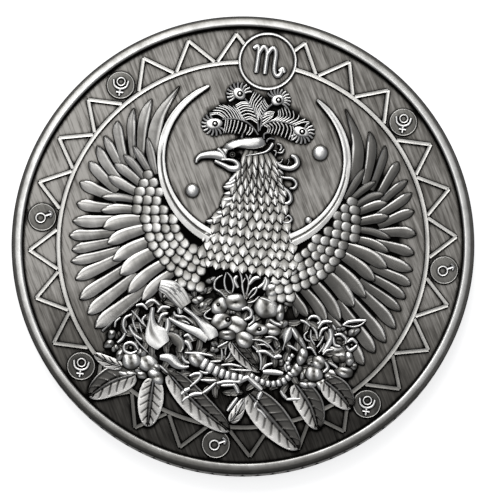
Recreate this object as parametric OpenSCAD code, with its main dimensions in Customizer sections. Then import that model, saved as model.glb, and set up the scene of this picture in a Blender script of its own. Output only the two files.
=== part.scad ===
// Antiqued silver challenge coin with a reeded edge.
// The obverse shows a phoenix with spread wings in front of a crescent, over a bouquet
// and a scorpion, inside a zigzag border with one large and seven small roundels.
// +Z is up and the obverse faces up. The reverse rim stands on Z = 0, the coin's axis is
// the Z axis, and +Y points at the large roundel. Every raised piece is a separate solid
// that is seated face to face on the field, or on the piece under it.

/* [Blank] */
// Diameter over the edge
coin_d = 40; // [32:0.5:50]
// Thickness over both rims
coin_t = 3; // [2.4:0.1:4]
// Width of one groove of the reeded edge
reed_w = 0.24; // [0.1:0.02:0.26]
// Depth of the grooves
reed_depth = 0.12; // [0.05:0.01:0.3]
// Number of grooves
reed_count = 96; // [40:4:96]

/* [Rims] */
// Width of each raised rim
rim_w = 0.95; // [0.7:0.05:1.3]
// Height of the obverse rim over its field
rim_h = 0.6; // [0.45:0.05:0.8]
// Height of the reverse rim over its field
reverse_rim_h = 0.4; // [0.35:0.05:0.6]
// Bevel on the outer corner of each rim
rim_bevel = 0.3; // [0.1:0.02:0.34]
// Small slope inside the top of each rim
rim_slope = 0.1; // [0.05:0.01:0.2]

/* [Border] */
// Gap between a rim and the tips of the triangles
tip_gap = 0.3; // [0.15:0.05:0.6]
// Height of the border triangles, from the ring line to their tips
triangle_h = 2.6; // [2.1:0.1:3.2]
// Width of the ring line
ring_w = 0.4; // [0.25:0.05:0.6]
// Width of the bars of the triangles
bar_w = 0.34; // [0.2:0.02:0.5]
// Height of the border lines over the field
line_h = 0.2; // [0.1:0.02:0.3]
// Angle between one triangle and the next
triangle_pitch = 13.1; // [12:0.1:13.3]

/* [Roundels] */
// Outer diameter of the large roundel
sign_d = 5.2; // [4:0.1:6.4]
// Width of the line round the large roundel
sign_line_w = 0.32; // [0.2:0.02:0.5]
// Diameter of the small roundels
planet_d = 2.5; // [1.8:0.1:3]
// Gap between a rim and each roundel
roundel_gap = 0.28; // [0.15:0.02:0.5]
// Height of the discs of the small roundels
disc_h = 0.16; // [0.1:0.02:0.25]
// Height of the signs over what they stand on
sign_h = 0.2; // [0.1:0.02:0.3]
// Stroke of the large sign
sign_stroke = 0.36; // [0.2:0.02:0.5]
// Stroke of the small signs
planet_stroke = 0.15; // [0.1:0.01:0.2]

/* [Picture] */
// Gap between the ring line and the tips of the flight feathers
picture_gap = 1; // [0.5:0.1:2]
// Height of the flight feathers
primary_h = 0.22; // [0.12:0.02:0.3]
// Height of the covert feathers
covert_h = 0.3; // [0.2:0.02:0.4]
// Height of the bed under the shoulder scales
bed_h = 0.3; // [0.2:0.02:0.4]
// Height of the scales and feather tips over their bed
scale_h = 0.14; // [0.06:0.02:0.18]
// Height of the neck and breast
neck_h = 0.36; // [0.2:0.02:0.4]
// Height of the head
head_h = 0.42; // [0.3:0.02:0.45]
// Height of the crescent
crescent_h = 0.3; // [0.2:0.02:0.4]
// Height of the orbs
orb_h = 0.4; // [0.2:0.02:0.45]
// Height of the crest plumes
plume_h = 0.24; // [0.15:0.01:0.3]
// Height of the flowers and buds
flower_h = 0.42; // [0.3:0.02:0.44]
// Height of the leaves
leaf_h = 0.3; // [0.2:0.02:0.4]
// Height of the scorpion
scorpion_h = 0.36; // [0.2:0.02:0.44]

/* [Reverse] */
// Height of the ring line, triangles and star of the reverse
reverse_h = 0.2; // [0.1:0.02:0.28]
// Number of rays of the star
star_rays = 16; // [8:2:24]
// Gap between the star and the ring line
star_gap = 1.6; // [1:0.1:3]

/* [Hidden] */
$fn = 64;

silver = "#b9b7b1";
bright_silver = "#dcdad5";
dark_silver = "#77736c";

coin_r = coin_d / 2;
field_z = coin_t - rim_h;
rim_inner_r = coin_r - rim_w;
tip_r = rim_inner_r - tip_gap;
ring_outer_r = tip_r - triangle_h;
ring_inner_r = ring_outer_r - ring_w;
sign_r = sign_d / 2;
sign_at_r = rim_inner_r - roundel_gap - sign_r;
planet_r = planet_d / 2;
planet_at_r = rim_inner_r - roundel_gap - planet_r;
// The border has a roundel at each of 8 places and 3 triangles after each of them
roundel_count = 8;
sector = 360 / roundel_count;
triangles_per_sector = 3;
// The picture is drawn for flight feathers that reach 14.75 mm from the axis
drawn_reach = 14.75;
picture_k = (ring_inner_r - picture_gap) / drawn_reach;

// ---- shared shapes ----

// Puts its children on the obverse field as solids of height h, dz above the field
module on_field(h, dz = 0) {
    translate([0, 0, field_z + dz])
        linear_extrude(height = h)
            children();
}

// The same for a shape of the picture, which follows the size of the ring line
module in_picture(h, dz = 0) {
    on_field(h, dz)
        scale(picture_k)
            children();
}

// Half width of a feather or leaf at t, from 0 at its root to 1 at its tip
function feather_width(t) = (0.45 + 0.55 * sin(90 * t)) * sqrt(max(0, 1 - pow(t, 6)));
function leaf_width(t) = pow(sin(180 * pow(t, 0.8)), 0.8);

// Outline of a feather from point a to point b, w wide
module feather(a, b, w) {
    d = b - a;
    steps = 7;
    along = [for (i = [0:steps]) sin(90 * i / steps)];
    up = [for (t = along) [norm(d) * t, w / 2 * feather_width(t)]];
    down = [for (i = [steps - 1:-1:0]) [up[i][0], -up[i][1]]];
    translate(a) rotate(atan2(d[1], d[0])) polygon(concat(up, down));
}

// Outline of a leaf from point a to point b, w wide
module leaf(a, b, w) {
    d = b - a;
    steps = 8;
    up = [for (i = [0:steps]) [norm(d) * i / steps, w / 2 * leaf_width(i / steps)]];
    down = [for (i = [steps - 1:-1:1]) [up[i][0], -up[i][1]]];
    translate(a) rotate(atan2(d[1], d[0])) polygon(concat(up, down));
}

// Straight bar with square ends from point a to point b, w wide
module bar(a, b, w) {
    d = b - a;
    translate(a) rotate(atan2(d[1], d[0])) translate([0, -w / 2]) square([norm(d), w]);
}

// Bars along a list of points, with round joints
module stroke(points, w) {
    for (i = [0:len(points) - 2]) bar(points[i], points[i + 1], w);
    for (p = points) translate(p) circle(d = w, $fn = 16);
}

// Arc line of centre radius r and width w, from angle a0 to a1
module arc_line(r, w, a0, a1) {
    steps = 10;
    outer = [for (i = [0:steps]) let (a = a0 + (a1 - a0) * i / steps) (r + w / 2) * [cos(a), sin(a)]];
    inner = [for (i = [steps:-1:0]) let (a = a0 + (a1 - a0) * i / steps) (r - w / 2) * [cos(a), sin(a)]];
    polygon(concat(outer, inner));
}

// Points of an oval with its own half heights above and below its centre
function oval(centre, half_w, low, high, steps = 48) = [
    for (i = [0:steps - 1])
        let (a = 360 * i / steps)
        centre + [half_w * cos(a), (sin(a) > 0 ? high : low) * sin(a)]
];

// Copies its children to the other wing
module mirrored(side) {
    if (side == "left") children();
    else mirror([1, 0, 0]) children();
}

// ---- blank and rims ----

module coin_blank() {
    color(dark_silver)
        translate([0, 0, reverse_rim_h])
            linear_extrude(height = field_z - reverse_rim_h)
                difference() {
                    circle(r = coin_r, $fn = 180);
                    for (i = [0:reed_count - 1])
                        rotate(360 * i / reed_count)
                            translate([coin_r, 0])
                                polygon([
                                    [-reed_depth, 0],
                                    [reed_depth, -reed_w],
                                    [reed_depth, reed_w]
                                ]);
                }
}

// Section of a rim that is h high: a flat top with a bevel outside and a small slope inside
module rim(h) {
    rotate_extrude($fn = 180)
        polygon([
            [rim_inner_r, 0],
            [coin_r, 0],
            [coin_r, h - rim_bevel],
            [coin_r - rim_bevel, h],
            [rim_inner_r + rim_slope, h],
            [rim_inner_r, h - rim_slope]
        ]);
}

module obverse_rim() {
    color(bright_silver) translate([0, 0, field_z]) rim(rim_h);
}

module reverse_rim() {
    color(bright_silver) translate([0, 0, reverse_rim_h]) mirror([0, 0, 1]) rim(reverse_rim_h);
}

// ---- border ----

// One outlined triangle with its tip on the +Y axis, open along the ring line
module triangle_outline() {
    half = ring_outer_r * sin(triangle_pitch / 2);
    base = ring_outer_r * cos(triangle_pitch / 2);
    height = tip_r - base;
    slope = atan(half / height);
    polygon([
        [-half, base],
        [0, tip_r],
        [half, base],
        [half - bar_w / cos(slope), base],
        [0, tip_r - bar_w / sin(slope)],
        [bar_w / cos(slope) - half, base]
    ]);
}

// All the triangles of one face, outside the ring line
module triangle_band() {
    difference() {
        for (s = [0:roundel_count - 1])
            for (t = [0:triangles_per_sector - 1])
                rotate(-s * sector - sector / 2 - (t - 1) * triangle_pitch)
                    triangle_outline();
        circle(r = ring_outer_r, $fn = 180);
    }
}

module ring_line() {
    difference() {
        circle(r = ring_outer_r, $fn = 180);
        circle(r = ring_inner_r, $fn = 180);
    }
}

// Puts its children at the planet roundels listed, upright
module at_roundels(places) {
    for (s = places)
        translate(planet_at_r * [sin(s * sector), cos(s * sector)])
            children();
}

module all_roundels() {
    translate([0, sign_at_r]) circle(r = sign_r);
    at_roundels([1:roundel_count - 1]) circle(r = planet_r, $fn = 48);
}

module obverse_ring() {
    color(silver)
        on_field(line_h)
            difference() {
                ring_line();
                all_roundels();
                scale(picture_k) bouquet_cover();
            }
}

module obverse_triangles() {
    color(silver)
        on_field(line_h)
            difference() {
                triangle_band();
                all_roundels();
                scale(picture_k) bouquet_cover();
            }
}

module sign_roundel() {
    color(silver)
        on_field(line_h)
            translate([0, sign_at_r])
                difference() {
                    circle(r = sign_r);
                    circle(r = sign_r - sign_line_w);
                }
}

// The zodiac sign: three stems joined by arches, and a tail with an arrow head.
// It is drawn 2.6 wide for a roundel 5.2 across.
module scorpio_sign() {
    k = sign_d / 5.2;
    w = sign_stroke / k;
    arch_r = 0.38;
    arch_y = 0.85;
    color(bright_silver)
        on_field(sign_h)
            translate([0, sign_at_r])
                scale(k) {
                    stroke([[-1.3, 1.05], [-0.95, 1.15], [-0.88, arch_y], [-0.88, -1.15]], w);
                    for (x = [-0.5, 0.26])
                        translate([x, arch_y]) arc_line(arch_r, w, 0, 180);
                    stroke([[-0.12, arch_y], [-0.12, -1.15]], w);
                    stroke([[0.64, arch_y], [0.64, -0.9], [0.85, -1.2], [1.15, -1.15], [1.4, -0.6]], w);
                }
}

module planet_roundels() {
    color(dark_silver)
        on_field(disc_h)
            difference() {
                at_roundels([1:roundel_count - 1]) circle(r = planet_r, $fn = 48);
                scale(picture_k) bouquet_cover();
            }
}

// Circle with an arrow to the upper right, drawn for a disc 2.5 across
module mars_signs() {
    k = planet_d / 2.5;
    w = planet_stroke / k;
    color(bright_silver)
        on_field(sign_h, disc_h)
            at_roundels([2, 4, 6])
                scale(k) {
                    difference() {
                        circle(r = 0.42, $fn = 32);
                        circle(r = 0.42 - w, $fn = 32);
                    }
                    stroke([[0.36, 0.18], [0.8, 0.4]], w);
                    stroke([[0.55, 0.55], [0.82, 0.42], [0.72, 0.1]], w);
                }
}

// Circle in a cup that stands on a cross, drawn for a disc 2.5 across
module pluto_signs() {
    k = planet_d / 2.5;
    w = planet_stroke / k;
    color(bright_silver)
        on_field(sign_h, disc_h)
            at_roundels([1, 3, 5, 7])
                scale(k) {
                    translate([0, 0.3]) {
                        difference() {
                            circle(r = 0.32, $fn = 32);
                            circle(r = 0.32 - w, $fn = 32);
                        }
                        arc_line(0.6, w, 180, 360);
                    }
                    bar([0, -0.25], [0, -0.9], w);
                    bar([-0.25, -0.6], [0.25, -0.6], w);
                }
}

// ---- crescent, orbs and crest ----

// Half width of each edge of the crescent, and its half heights below and above the centre
crescent_centre = [0, 7.4];
crescent_outer_size = [8.35, 8.35, 7.3];
crescent_inner_size = [7.75, 7.1, 7.25];

module crescent_outer() {
    polygon(oval(crescent_centre, crescent_outer_size[0], crescent_outer_size[1], crescent_outer_size[2]));
}

module crescent_inner() {
    polygon(oval(crescent_centre, crescent_inner_size[0], crescent_inner_size[1], crescent_inner_size[2]));
}

// The crescent ends in points where its inner edge leaves its outer edge
module crescent_outline() {
    horn_y = 13.3;
    difference() {
        crescent_outer();
        crescent_inner();
        translate([-crescent_outer_size[0], horn_y]) square(2 * crescent_outer_size[0]);
    }
}

module crescent() {
    color(silver)
        in_picture(crescent_h)
            difference() {
                crescent_outline();
                neck_outline();
                curl_outlines();
            }
}

// A low dome of radius r
module orb(r) {
    ball_r = (r * r + orb_h * orb_h) / (2 * orb_h);
    intersection() {
        translate([0, 0, orb_h - ball_r]) sphere(r = ball_r);
        cylinder(r = 2 * r, h = orb_h);
    }
}

// Each orb is its centre and radius
orb_list = [[-4.95, 4.0, 0.62], [5.6, 8.75, 0.7], [5.35, 2.75, 0.32]];

module orbs() {
    color(bright_silver)
        translate([0, 0, field_z])
            for (o = orb_list)
                translate(picture_k * [o[0], o[1], 0])
                    orb(picture_k * o[2]);
}

plume_root = [0, 9.75];
plume_tips = [[-4.7, 9.9], [-2.7, 13.7], [2.1, 13.7], [4.7, 10.2]];
plume_widths = [2, 1.5, 1.5, 2];
plume_eye_places = [[-3.7, 10.05], [-2.0, 12.95], [1.4, 12.85], [3.6, 10.4]];
plume_eye_r = 0.5;

module plume_outlines() {
    for (i = [0:3]) feather(plume_root, plume_tips[i], plume_widths[i]);
}

module crest_plumes() {
    color(silver)
        on_field(plume_h)
            difference() {
                scale(picture_k) plume_outlines();
                scale(picture_k) crown_outline();
                translate([0, sign_at_r]) circle(r = sign_r);
            }
}

module plume_eyes() {
    color(bright_silver)
        in_picture(scale_h, plume_h)
            for (p = plume_eye_places)
                translate(p) circle(r = plume_eye_r, $fn = 32);
}

// ---- head and neck ----

module crown_outline() {
    polygon([
        [-2.9, 7.95], [-2.45, 8.6], [-1.4, 9.05], [-0.2, 9.3], [0.8, 9.45], [1.25, 9.1],
        [1.3, 8.5], [0.9, 8.0], [-0.4, 7.75], [-1.6, 7.95], [-2.3, 7.9]
    ]);
}

module beak_outline() {
    difference() {
        polygon([
            [-4.9, 6.75], [-4.75, 7.2], [-4.2, 7.5], [-3.3, 7.65], [-2.9, 7.95], [-2.3, 7.9],
            [-2.1, 7.2], [-1.1, 7.1], [-1.15, 6.4], [-2.0, 6.25], [-3.0, 6.8], [-4.2, 7.0],
            [-4.65, 6.85]
        ]);
        eye_outline();
        crown_outline();
    }
}

eye_place = [-1.75, 7.5];
eye_r = 0.3;

module eye_outline() {
    translate(eye_place) circle(r = eye_r, $fn = 32);
}

module neck_outline() {
    difference() {
        polygon([
            [-1.3, 7.9], [-1.1, 7.1], [-1.4, 6.2], [-1.75, 5.2], [-1.85, 4.0], [-2.15, 3.0],
            [-2.7, 2.1], [-3.2, 1.3], [-3.3, 0], [-3.3, -1.6], [-2.9, -3.4], [-2, -4.4],
            [2.4, -4.4], [3.9, -3.4], [4.6, -1.6], [4.6, -0.2], [4.2, 1.1], [3.6, 2.1],
            [3.15, 3.2], [3.0, 4.4], [2.6, 5.6], [2.1, 6.8], [1.3, 8]
        ]);
        crown_outline();
        beak_outline();
        eye_outline();
    }
}

module crown() {
    color(bright_silver) in_picture(head_h) crown_outline();
}

module beak() {
    color(bright_silver) in_picture(head_h) beak_outline();
}

module eye() {
    color(dark_silver) in_picture(neck_h) eye_outline();
}

module neck() {
    color(silver)
        in_picture(neck_h)
            difference() {
                neck_outline();
                flower_cover();
            }
}

// Half width and middle of the rows of feather tips at height y, inside the neck's outline
function row_half(y) = y > 1 ? 1.1 + (7 - y) * 0.24 : 2.5 + (1 - y) * 0.2;
function row_middle(y) = 0.45 + max(0, 3 - y) * 0.04;

// One pointed feather tip, seen from above
module feather_tip() {
    half = 0.25;
    rise = 0.35;
    drop = 0.5;
    shoulder = 0.8 * half;
    polygon([
        [-half, 0],
        [0, rise],
        [half, 0],
        [shoulder, -drop / 2],
        [0, -drop],
        [-shoulder, -drop / 2]
    ]);
}

// Feather tips in rows down the neck, from the cheek to the breast
module neck_feathers() {
    rows = 10;
    row_step = 0.95;
    tip_step = 0.72;
    top_y = 6.6;
    color(bright_silver)
        in_picture(scale_h, neck_h)
            for (row = [0:rows - 1])
                let (y = top_y - row * row_step)
                let (count = floor(2 * row_half(y) / tip_step))
                for (i = [0:count - 1])
                    translate([row_middle(y) + (i - (count - 1) / 2) * tip_step, y])
                        feather_tip();
}

// Each curl is a ring at the end of a stem that comes out of the neck
curl_places = [[2.0, 8.7], [3.2, 7.6], [3.4, 5.75], [3.3, 4.45], [3.35, 2.65]];
curl_r = 0.45;
curl_hole_r = 0.16;
curl_stem_w = 0.3;
curl_root_x = 1.4;

module curl_outlines() {
    for (p = curl_places) {
        translate(p) circle(r = curl_r, $fn = 32);
        bar([curl_root_x, p[1] - 0.2], p + [0, -0.3], curl_stem_w);
    }
}

module nape_curls() {
    color(bright_silver)
        in_picture(plume_h)
            difference() {
                curl_outlines();
                for (p = curl_places) translate(p) circle(r = curl_hole_r, $fn = 24);
                neck_outline();
                crown_outline();
                plume_outlines();
            }
}

// ---- wings ----

// The roots of the feathers lie on an arc behind the crescent
arm_centre = [-3, 2.2];
arm_r = 6.7;
primary_count = 17;
primary_w = 1.35;
covert_count = 10;
covert_w = 1.4;
// The bed of the scales reaches past the roots of the feathers
shoulder_r = arm_r + 0.4;

function arm_point(t) = arm_centre + arm_r * [-cos(40 - 102 * t), sin(40 - 102 * t)];
function primary_tip(t) = drawn_reach * [-cos(59.4 - 95.1 * t), sin(59.4 - 95.1 * t)];
function covert_reach(a) = 12.8 - 0.0009 * pow(a - 20, 2);
function covert_tip(a) = covert_reach(a) * [-cos(a), sin(a)];

module primary_outlines() {
    for (i = [0:primary_count - 1])
        let (t = i / (primary_count - 1))
        feather(arm_point(t), primary_tip(t), primary_w);
}

module covert_outlines() {
    for (i = [0:covert_count - 1])
        let (t = i / (covert_count - 1))
        feather(arm_point(t), covert_tip(43 - 74 * t), covert_w);
}

// The shoulder is a disc about the arm's centre, cut off at its top and beside the breast.
// The crescent, the neck and the flowers lie over its edges.
module shoulder_outline() {
    breast_x = -2.9;
    top_y = 7.3;
    cut = 2 * shoulder_r;
    difference() {
        translate(arm_centre) circle(r = shoulder_r);
        translate([breast_x, arm_centre[1] - cut]) square([cut, 2 * cut]);
        translate([breast_x - cut, top_y]) square(cut);
    }
}

module primaries(side) {
    color(silver)
        in_picture(primary_h)
            difference() {
                mirrored(side)
                    difference() {
                        primary_outlines();
                        covert_outlines();
                        shoulder_outline();
                    }
                crescent_outer();
                neck_outline();
                bouquet_cover();
            }
}

module coverts(side) {
    color(silver)
        in_picture(covert_h)
            difference() {
                mirrored(side)
                    difference() {
                        covert_outlines();
                        shoulder_outline();
                    }
                crescent_outer();
                neck_outline();
                bouquet_cover();
            }
}

module shoulder(side) {
    color(dark_silver)
        in_picture(bed_h)
            difference() {
                mirrored(side) shoulder_outline();
                crescent_outer();
                neck_outline();
                bouquet_cover();
            }
}

// Rounded scales on the shoulder, in arcs about the arm's centre
module scales(side) {
    scale_r = 0.34;
    step = 0.86;
    rows = 4;
    first_angle = 22;
    swept = 92;
    // The scales keep clear of the crescent, the neck and the flowers
    crescent_clear = [8.9, 9.1];
    nearest_x = -5.05;
    lowest_y = -3.4;
    color(bright_silver)
        in_picture(scale_h, bed_h)
            mirrored(side)
                for (row = [0:rows - 1])
                    let (r = arm_r - row * step)
                    let (turn = step / r * 180 / PI)
                    for (i = [0:floor(swept / turn)])
                        let (a = first_angle - (i + (row % 2) / 2) * turn)
                        let (p = arm_centre + r * [-cos(a), sin(a)])
                        let (off = p - crescent_centre)
                        let (out = norm([off[0] / crescent_clear[0], off[1] / crescent_clear[1]]))
                        if (out > 1 && p[0] < nearest_x && p[1] > lowest_y)
                            translate(p) circle(r = scale_r, $fn = 24);
}

module left_primaries() { primaries("left"); }
module right_primaries() { primaries("right"); }
module left_coverts() { coverts("left"); }
module right_coverts() { coverts("right"); }
module left_shoulder() { shoulder("left"); }
module right_shoulder() { shoulder("right"); }
module left_scales() { scales("left"); }
module right_scales() { scales("right"); }

// ---- bouquet ----

// Each flower is its centre and the radius over its petals
middle_blooms = [[0, -6.2, 1.9], [3.2, -6.1, 1.75]];
left_blooms = [[-7.6, -11, 2]];
right_blooms = [[6.9, -9.9, 1.9], [9.7, -9, 1.8], [10.1, -7, 1.3]];
petals = 5;

petal_share = 0.43;
middle_share = 0.5;
heart_share = 0.2;

module bloom(b) {
    petal_r = b[2] * petal_share;
    translate([b[0], b[1]]) {
        circle(r = b[2] * middle_share);
        for (i = [0:petals - 1])
            rotate(90 + i * 360 / petals)
                translate([b[2] - petal_r, 0])
                    circle(r = petal_r, $fn = 32);
    }
}

module blooms(list) {
    for (b = list) bloom(b);
}

// Each bud is its stalk end, its tip and its width
buds = [
    [[-3.8, -6.2], [-6.8, -4.4], 1.7],
    [[1.6, -7.2], [0.9, -8.9], 1.3],
    [[6.6, -8.3], [5.2, -6.7], 0.7]
];

module bud_outlines() {
    for (b = buds) leaf(b[0], b[1], b[2]);
}

// A spray is a fan of narrow petals: its root, the angle of its first petal and their length
sprays = [[[-7.4, -9], 60, 2.9], [[7.7, -8.6], 50, 2.9]];
spray_petals = 7;
spray_step = 22;
spray_petal_w = 0.55;

module spray_outlines() {
    for (s = sprays)
        for (i = [0:spray_petals - 1])
            let (a = s[1] + i * spray_step)
            leaf(s[0], s[0] + s[2] * [cos(a), sin(a)], spray_petal_w);
}

module flower_cover() {
    blooms(middle_blooms);
    blooms(left_blooms);
    blooms(right_blooms);
    bud_outlines();
    spray_outlines();
}

// Each leaf is its stalk end, its tip and its width
leaf_list = [
    [[-7.4, -11.6], [-11.4, -14.3], 2.3],
    [[-6.4, -11.9], [-6.1, -16.9], 2.1],
    [[-8.4, -11.2], [-11.5, -11.2], 1.1],
    [[-3.8, -11.8], [1.0, -16.3], 2.1],
    [[2.6, -12.6], [7.1, -17.0], 2.6],
    [[6.2, -11.2], [8.6, -15.2], 2.5],
    [[8.4, -10.6], [11.1, -12.9], 2.2],
    [[0.1, -8.3], [3.1, -10.9], 1.3]
];

module leaf_outlines() {
    for (l = leaf_list) leaf(l[0], l[1], l[2]);
}

module bouquet_cover() {
    flower_cover();
    scorpion_cover();
    leaf_outlines();
}

module middle_flowers() {
    color(bright_silver)
        in_picture(flower_h)
            blooms(middle_blooms);
}

module left_flower() {
    color(bright_silver) in_picture(flower_h) blooms(left_blooms);
}

module right_flower() {
    color(bright_silver) in_picture(flower_h) blooms(right_blooms);
}

module flower_hearts() {
    color(silver)
        in_picture(scale_h, flower_h)
            for (b = concat(middle_blooms, left_blooms, right_blooms))
                translate([b[0], b[1]]) circle(r = b[2] * heart_share, $fn = 24);
}

module flower_buds() {
    color(bright_silver)
        in_picture(flower_h)
            difference() {
                bud_outlines();
                blooms(middle_blooms);
                blooms(right_blooms);
                scorpion_cover();
            }
}

module flower_sprays() {
    color(silver)
        in_picture(leaf_h)
            difference() {
                spray_outlines();
                blooms(left_blooms);
                blooms(right_blooms);
                bud_outlines();
                scorpion_cover();
            }
}

// The leaves lie over the border, and end at the circle of the triangle tips
module leaves() {
    color(silver)
        on_field(leaf_h)
            intersection() {
                circle(r = tip_r, $fn = 180);
                scale(picture_k)
                    difference() {
                        leaf_outlines();
                        flower_cover();
                        scorpion_cover();
                    }
            }
}

// One rib along the middle of each leaf, on top of it
module leaf_ribs() {
    rib_w = 0.2;
    rib_margin = 0.1;
    color(bright_silver)
        in_picture(scale_h / 2, leaf_h)
            difference() {
                for (l = leaf_list)
                    let (d = rib_margin * (l[1] - l[0]))
                    bar(l[0] + d, l[1] - d, rib_w);
                flower_cover();
                scorpion_cover();
            }
}

// ---- scorpion ----

// Each segment is its centre and radius
body_segments = [[-2.7, -10.6, 0.85], [-1.5, -11, 0.8], [-0.4, -11.4, 0.7], [0.7, -11.6, 0.6]];
tail_segments = [
    [1.8, -11.75, 0.55], [2.9, -11.8, 0.52], [3.9, -11.7, 0.5], [4.8, -11.4, 0.46],
    [5.4, -10.8, 0.42], [5.2, -10, 0.4], [4.8, -9.3, 0.38]
];
stinger = [[4.9, -6.8], [4.5, -9], 0.9];
// Each arm is its points from the body outwards, and each claw its wrist, tip and width
arms = [[[-3.2, -11], [-4.6, -11.1], [-5.4, -10.6]], [[-1.6, -10.2], [-1.1, -9.3], [-1.4, -8.7]]];
claws = [[[-5.1, -10.4], [-7.1, -6.5], 1.9], [[-1.2, -8.7], [-5.6, -6.7], 1.5]];
legs = [
    [[-1.9, -11.6], [-2.2, -12.2], [-3.6, -13.6]],
    [[-0.9, -11.9], [-1.4, -12.7], [-2.9, -13.5]],
    [[0.4, -12.1], [1.6, -12.6], [1.2, -13.8]],
    [[1.1, -12], [2.1, -11.5], [3.3, -12.3], [3.1, -14.2]],
    [[0.0, -10.9], [1.2, -10.55], [2.2, -10.9]],
    [[4.9, -11.6], [5.5, -12.8], [6.7, -12.7]]
];

module body_outline() {
    for (s = body_segments) translate([s[0], s[1]]) circle(r = s[2], $fn = 40);
}

module tail_outline() {
    for (s = tail_segments) translate([s[0], s[1]]) circle(r = s[2], $fn = 32);
    leaf(stinger[0], stinger[1], stinger[2]);
}

arm_w = 0.6;
leg_w = 0.26;

module claw_outline() {
    for (a = arms) stroke(a, arm_w);
    for (c = claws) leaf(c[0], c[1], c[2]);
}

module leg_outline() {
    for (l = legs) stroke(l, leg_w);
}

module scorpion_cover() {
    body_outline();
    tail_outline();
    claw_outline();
    leg_outline();
}

module scorpion_body() {
    color(bright_silver)
        in_picture(scorpion_h)
            difference() {
                body_outline();
                blooms(middle_blooms);
            }
}

module scorpion_tail() {
    color(bright_silver)
        in_picture(scorpion_h)
            difference() {
                tail_outline();
                body_outline();
                blooms(middle_blooms);
                blooms(right_blooms);
            }
}

module scorpion_claws() {
    color(bright_silver)
        in_picture(scorpion_h)
            difference() {
                claw_outline();
                body_outline();
                blooms(middle_blooms);
                blooms(left_blooms);
            }
}

module scorpion_legs() {
    color(bright_silver)
        in_picture(leaf_h)
            difference() {
                leg_outline();
                body_outline();
                tail_outline();
                claw_outline();
                blooms(middle_blooms);
                blooms(right_blooms);
            }
}

// ---- reverse ----

// Hangs its children under the reverse field as solids reverse_h high
module on_reverse() {
    translate([0, 0, reverse_rim_h - reverse_h])
        linear_extrude(height = reverse_h)
            children();
}

module reverse_ring() {
    color(silver) on_reverse() ring_line();
}

module reverse_triangles() {
    color(silver) on_reverse() triangle_band();
}

module reverse_star() {
    long_r = ring_inner_r - star_gap;
    notch = 0.62;
    short_r = long_r * notch;
    color(silver)
        on_reverse()
            polygon([
                for (i = [0:2 * star_rays - 1])
                    let (a = 180 * i / star_rays)
                    (i % 2 == 0 ? long_r : short_r) * [sin(a), cos(a)]
            ]);
}

coin_blank();
obverse_rim();
reverse_rim();
obverse_ring();
obverse_triangles();
sign_roundel();
scorpio_sign();
planet_roundels();
mars_signs();
pluto_signs();
crescent();
orbs();
crest_plumes();
plume_eyes();
crown();
beak();
eye();
neck();
neck_feathers();
nape_curls();
left_primaries();
right_primaries();
left_coverts();
right_coverts();
left_shoulder();
right_shoulder();
left_scales();
right_scales();
middle_flowers();
left_flower();
right_flower();
flower_hearts();
flower_buds();
flower_sprays();
leaves();
leaf_ribs();
scorpion_body();
scorpion_tail();
scorpion_claws();
scorpion_legs();
reverse_ring();
reverse_triangles();
reverse_star();
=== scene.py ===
"""Challenge coin in antiqued silver: a phoenix in front of a crescent, over a bouquet and a
scorpion, inside a zigzag border with roundels. Sizes are in millimetres until a piece is finished."""

import math
import random

import bmesh
import bpy
from mathutils import Matrix, Vector


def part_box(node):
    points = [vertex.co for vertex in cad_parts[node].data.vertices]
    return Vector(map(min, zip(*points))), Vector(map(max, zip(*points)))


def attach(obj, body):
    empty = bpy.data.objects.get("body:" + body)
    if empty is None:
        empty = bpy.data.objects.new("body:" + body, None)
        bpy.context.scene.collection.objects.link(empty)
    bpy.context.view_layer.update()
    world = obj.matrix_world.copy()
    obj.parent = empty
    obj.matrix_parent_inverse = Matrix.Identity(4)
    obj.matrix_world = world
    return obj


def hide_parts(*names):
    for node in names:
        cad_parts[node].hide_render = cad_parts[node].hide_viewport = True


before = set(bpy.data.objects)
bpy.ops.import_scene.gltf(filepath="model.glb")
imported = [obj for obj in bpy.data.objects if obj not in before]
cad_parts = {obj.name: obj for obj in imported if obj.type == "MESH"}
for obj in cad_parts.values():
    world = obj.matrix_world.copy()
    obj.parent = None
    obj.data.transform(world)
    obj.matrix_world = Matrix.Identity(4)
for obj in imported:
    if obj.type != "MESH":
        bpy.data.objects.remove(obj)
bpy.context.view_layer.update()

# ---- Floor, light and camera ----
# The coin lies flat on a pale table under a large soft lamp that stands at its upper left.
# The lower right is left dim, so that every raised edge has a bright side and a dark side.

MM = 0.001
TILT, ROLL = math.radians(8.0), math.radians(7.6)
CAMERA_REACH = 300
CAMERA_LENS = 250.4

scene = bpy.context.scene
scene.view_settings.view_transform = "Standard"


def linear(colour):
    """An sRGB hex colour as linear red, green, blue and alpha."""
    parts = [int(colour[i:i + 2], 16) / 255 for i in (1, 3, 5)]
    return [p / 12.92 if p <= 0.04045 else ((p + 0.055) / 1.055) ** 2.4 for p in parts] + [1]


def node(material, kind, settings, inputs):
    """Adds a node with its settings, and sets or links its inputs. Returns the node."""
    made = material.node_tree.nodes.new(kind)
    for key, value in settings.items():
        setattr(made, key, value)
    for key, value in inputs.items():
        if isinstance(value, bpy.types.NodeSocket):
            material.node_tree.links.new(value, made.inputs[key])
        else:
            made.inputs[key].default_value = value
    return made


def new_material(name):
    """An empty material with its shader and output."""
    material = bpy.data.materials.new(name)
    material.use_nodes = True
    material.node_tree.nodes.clear()
    shader = node(material, "ShaderNodeBsdfPrincipled", {}, {})
    node(material, "ShaderNodeOutputMaterial", {}, {"Surface": shader.outputs["BSDF"]})
    return material, shader


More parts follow.
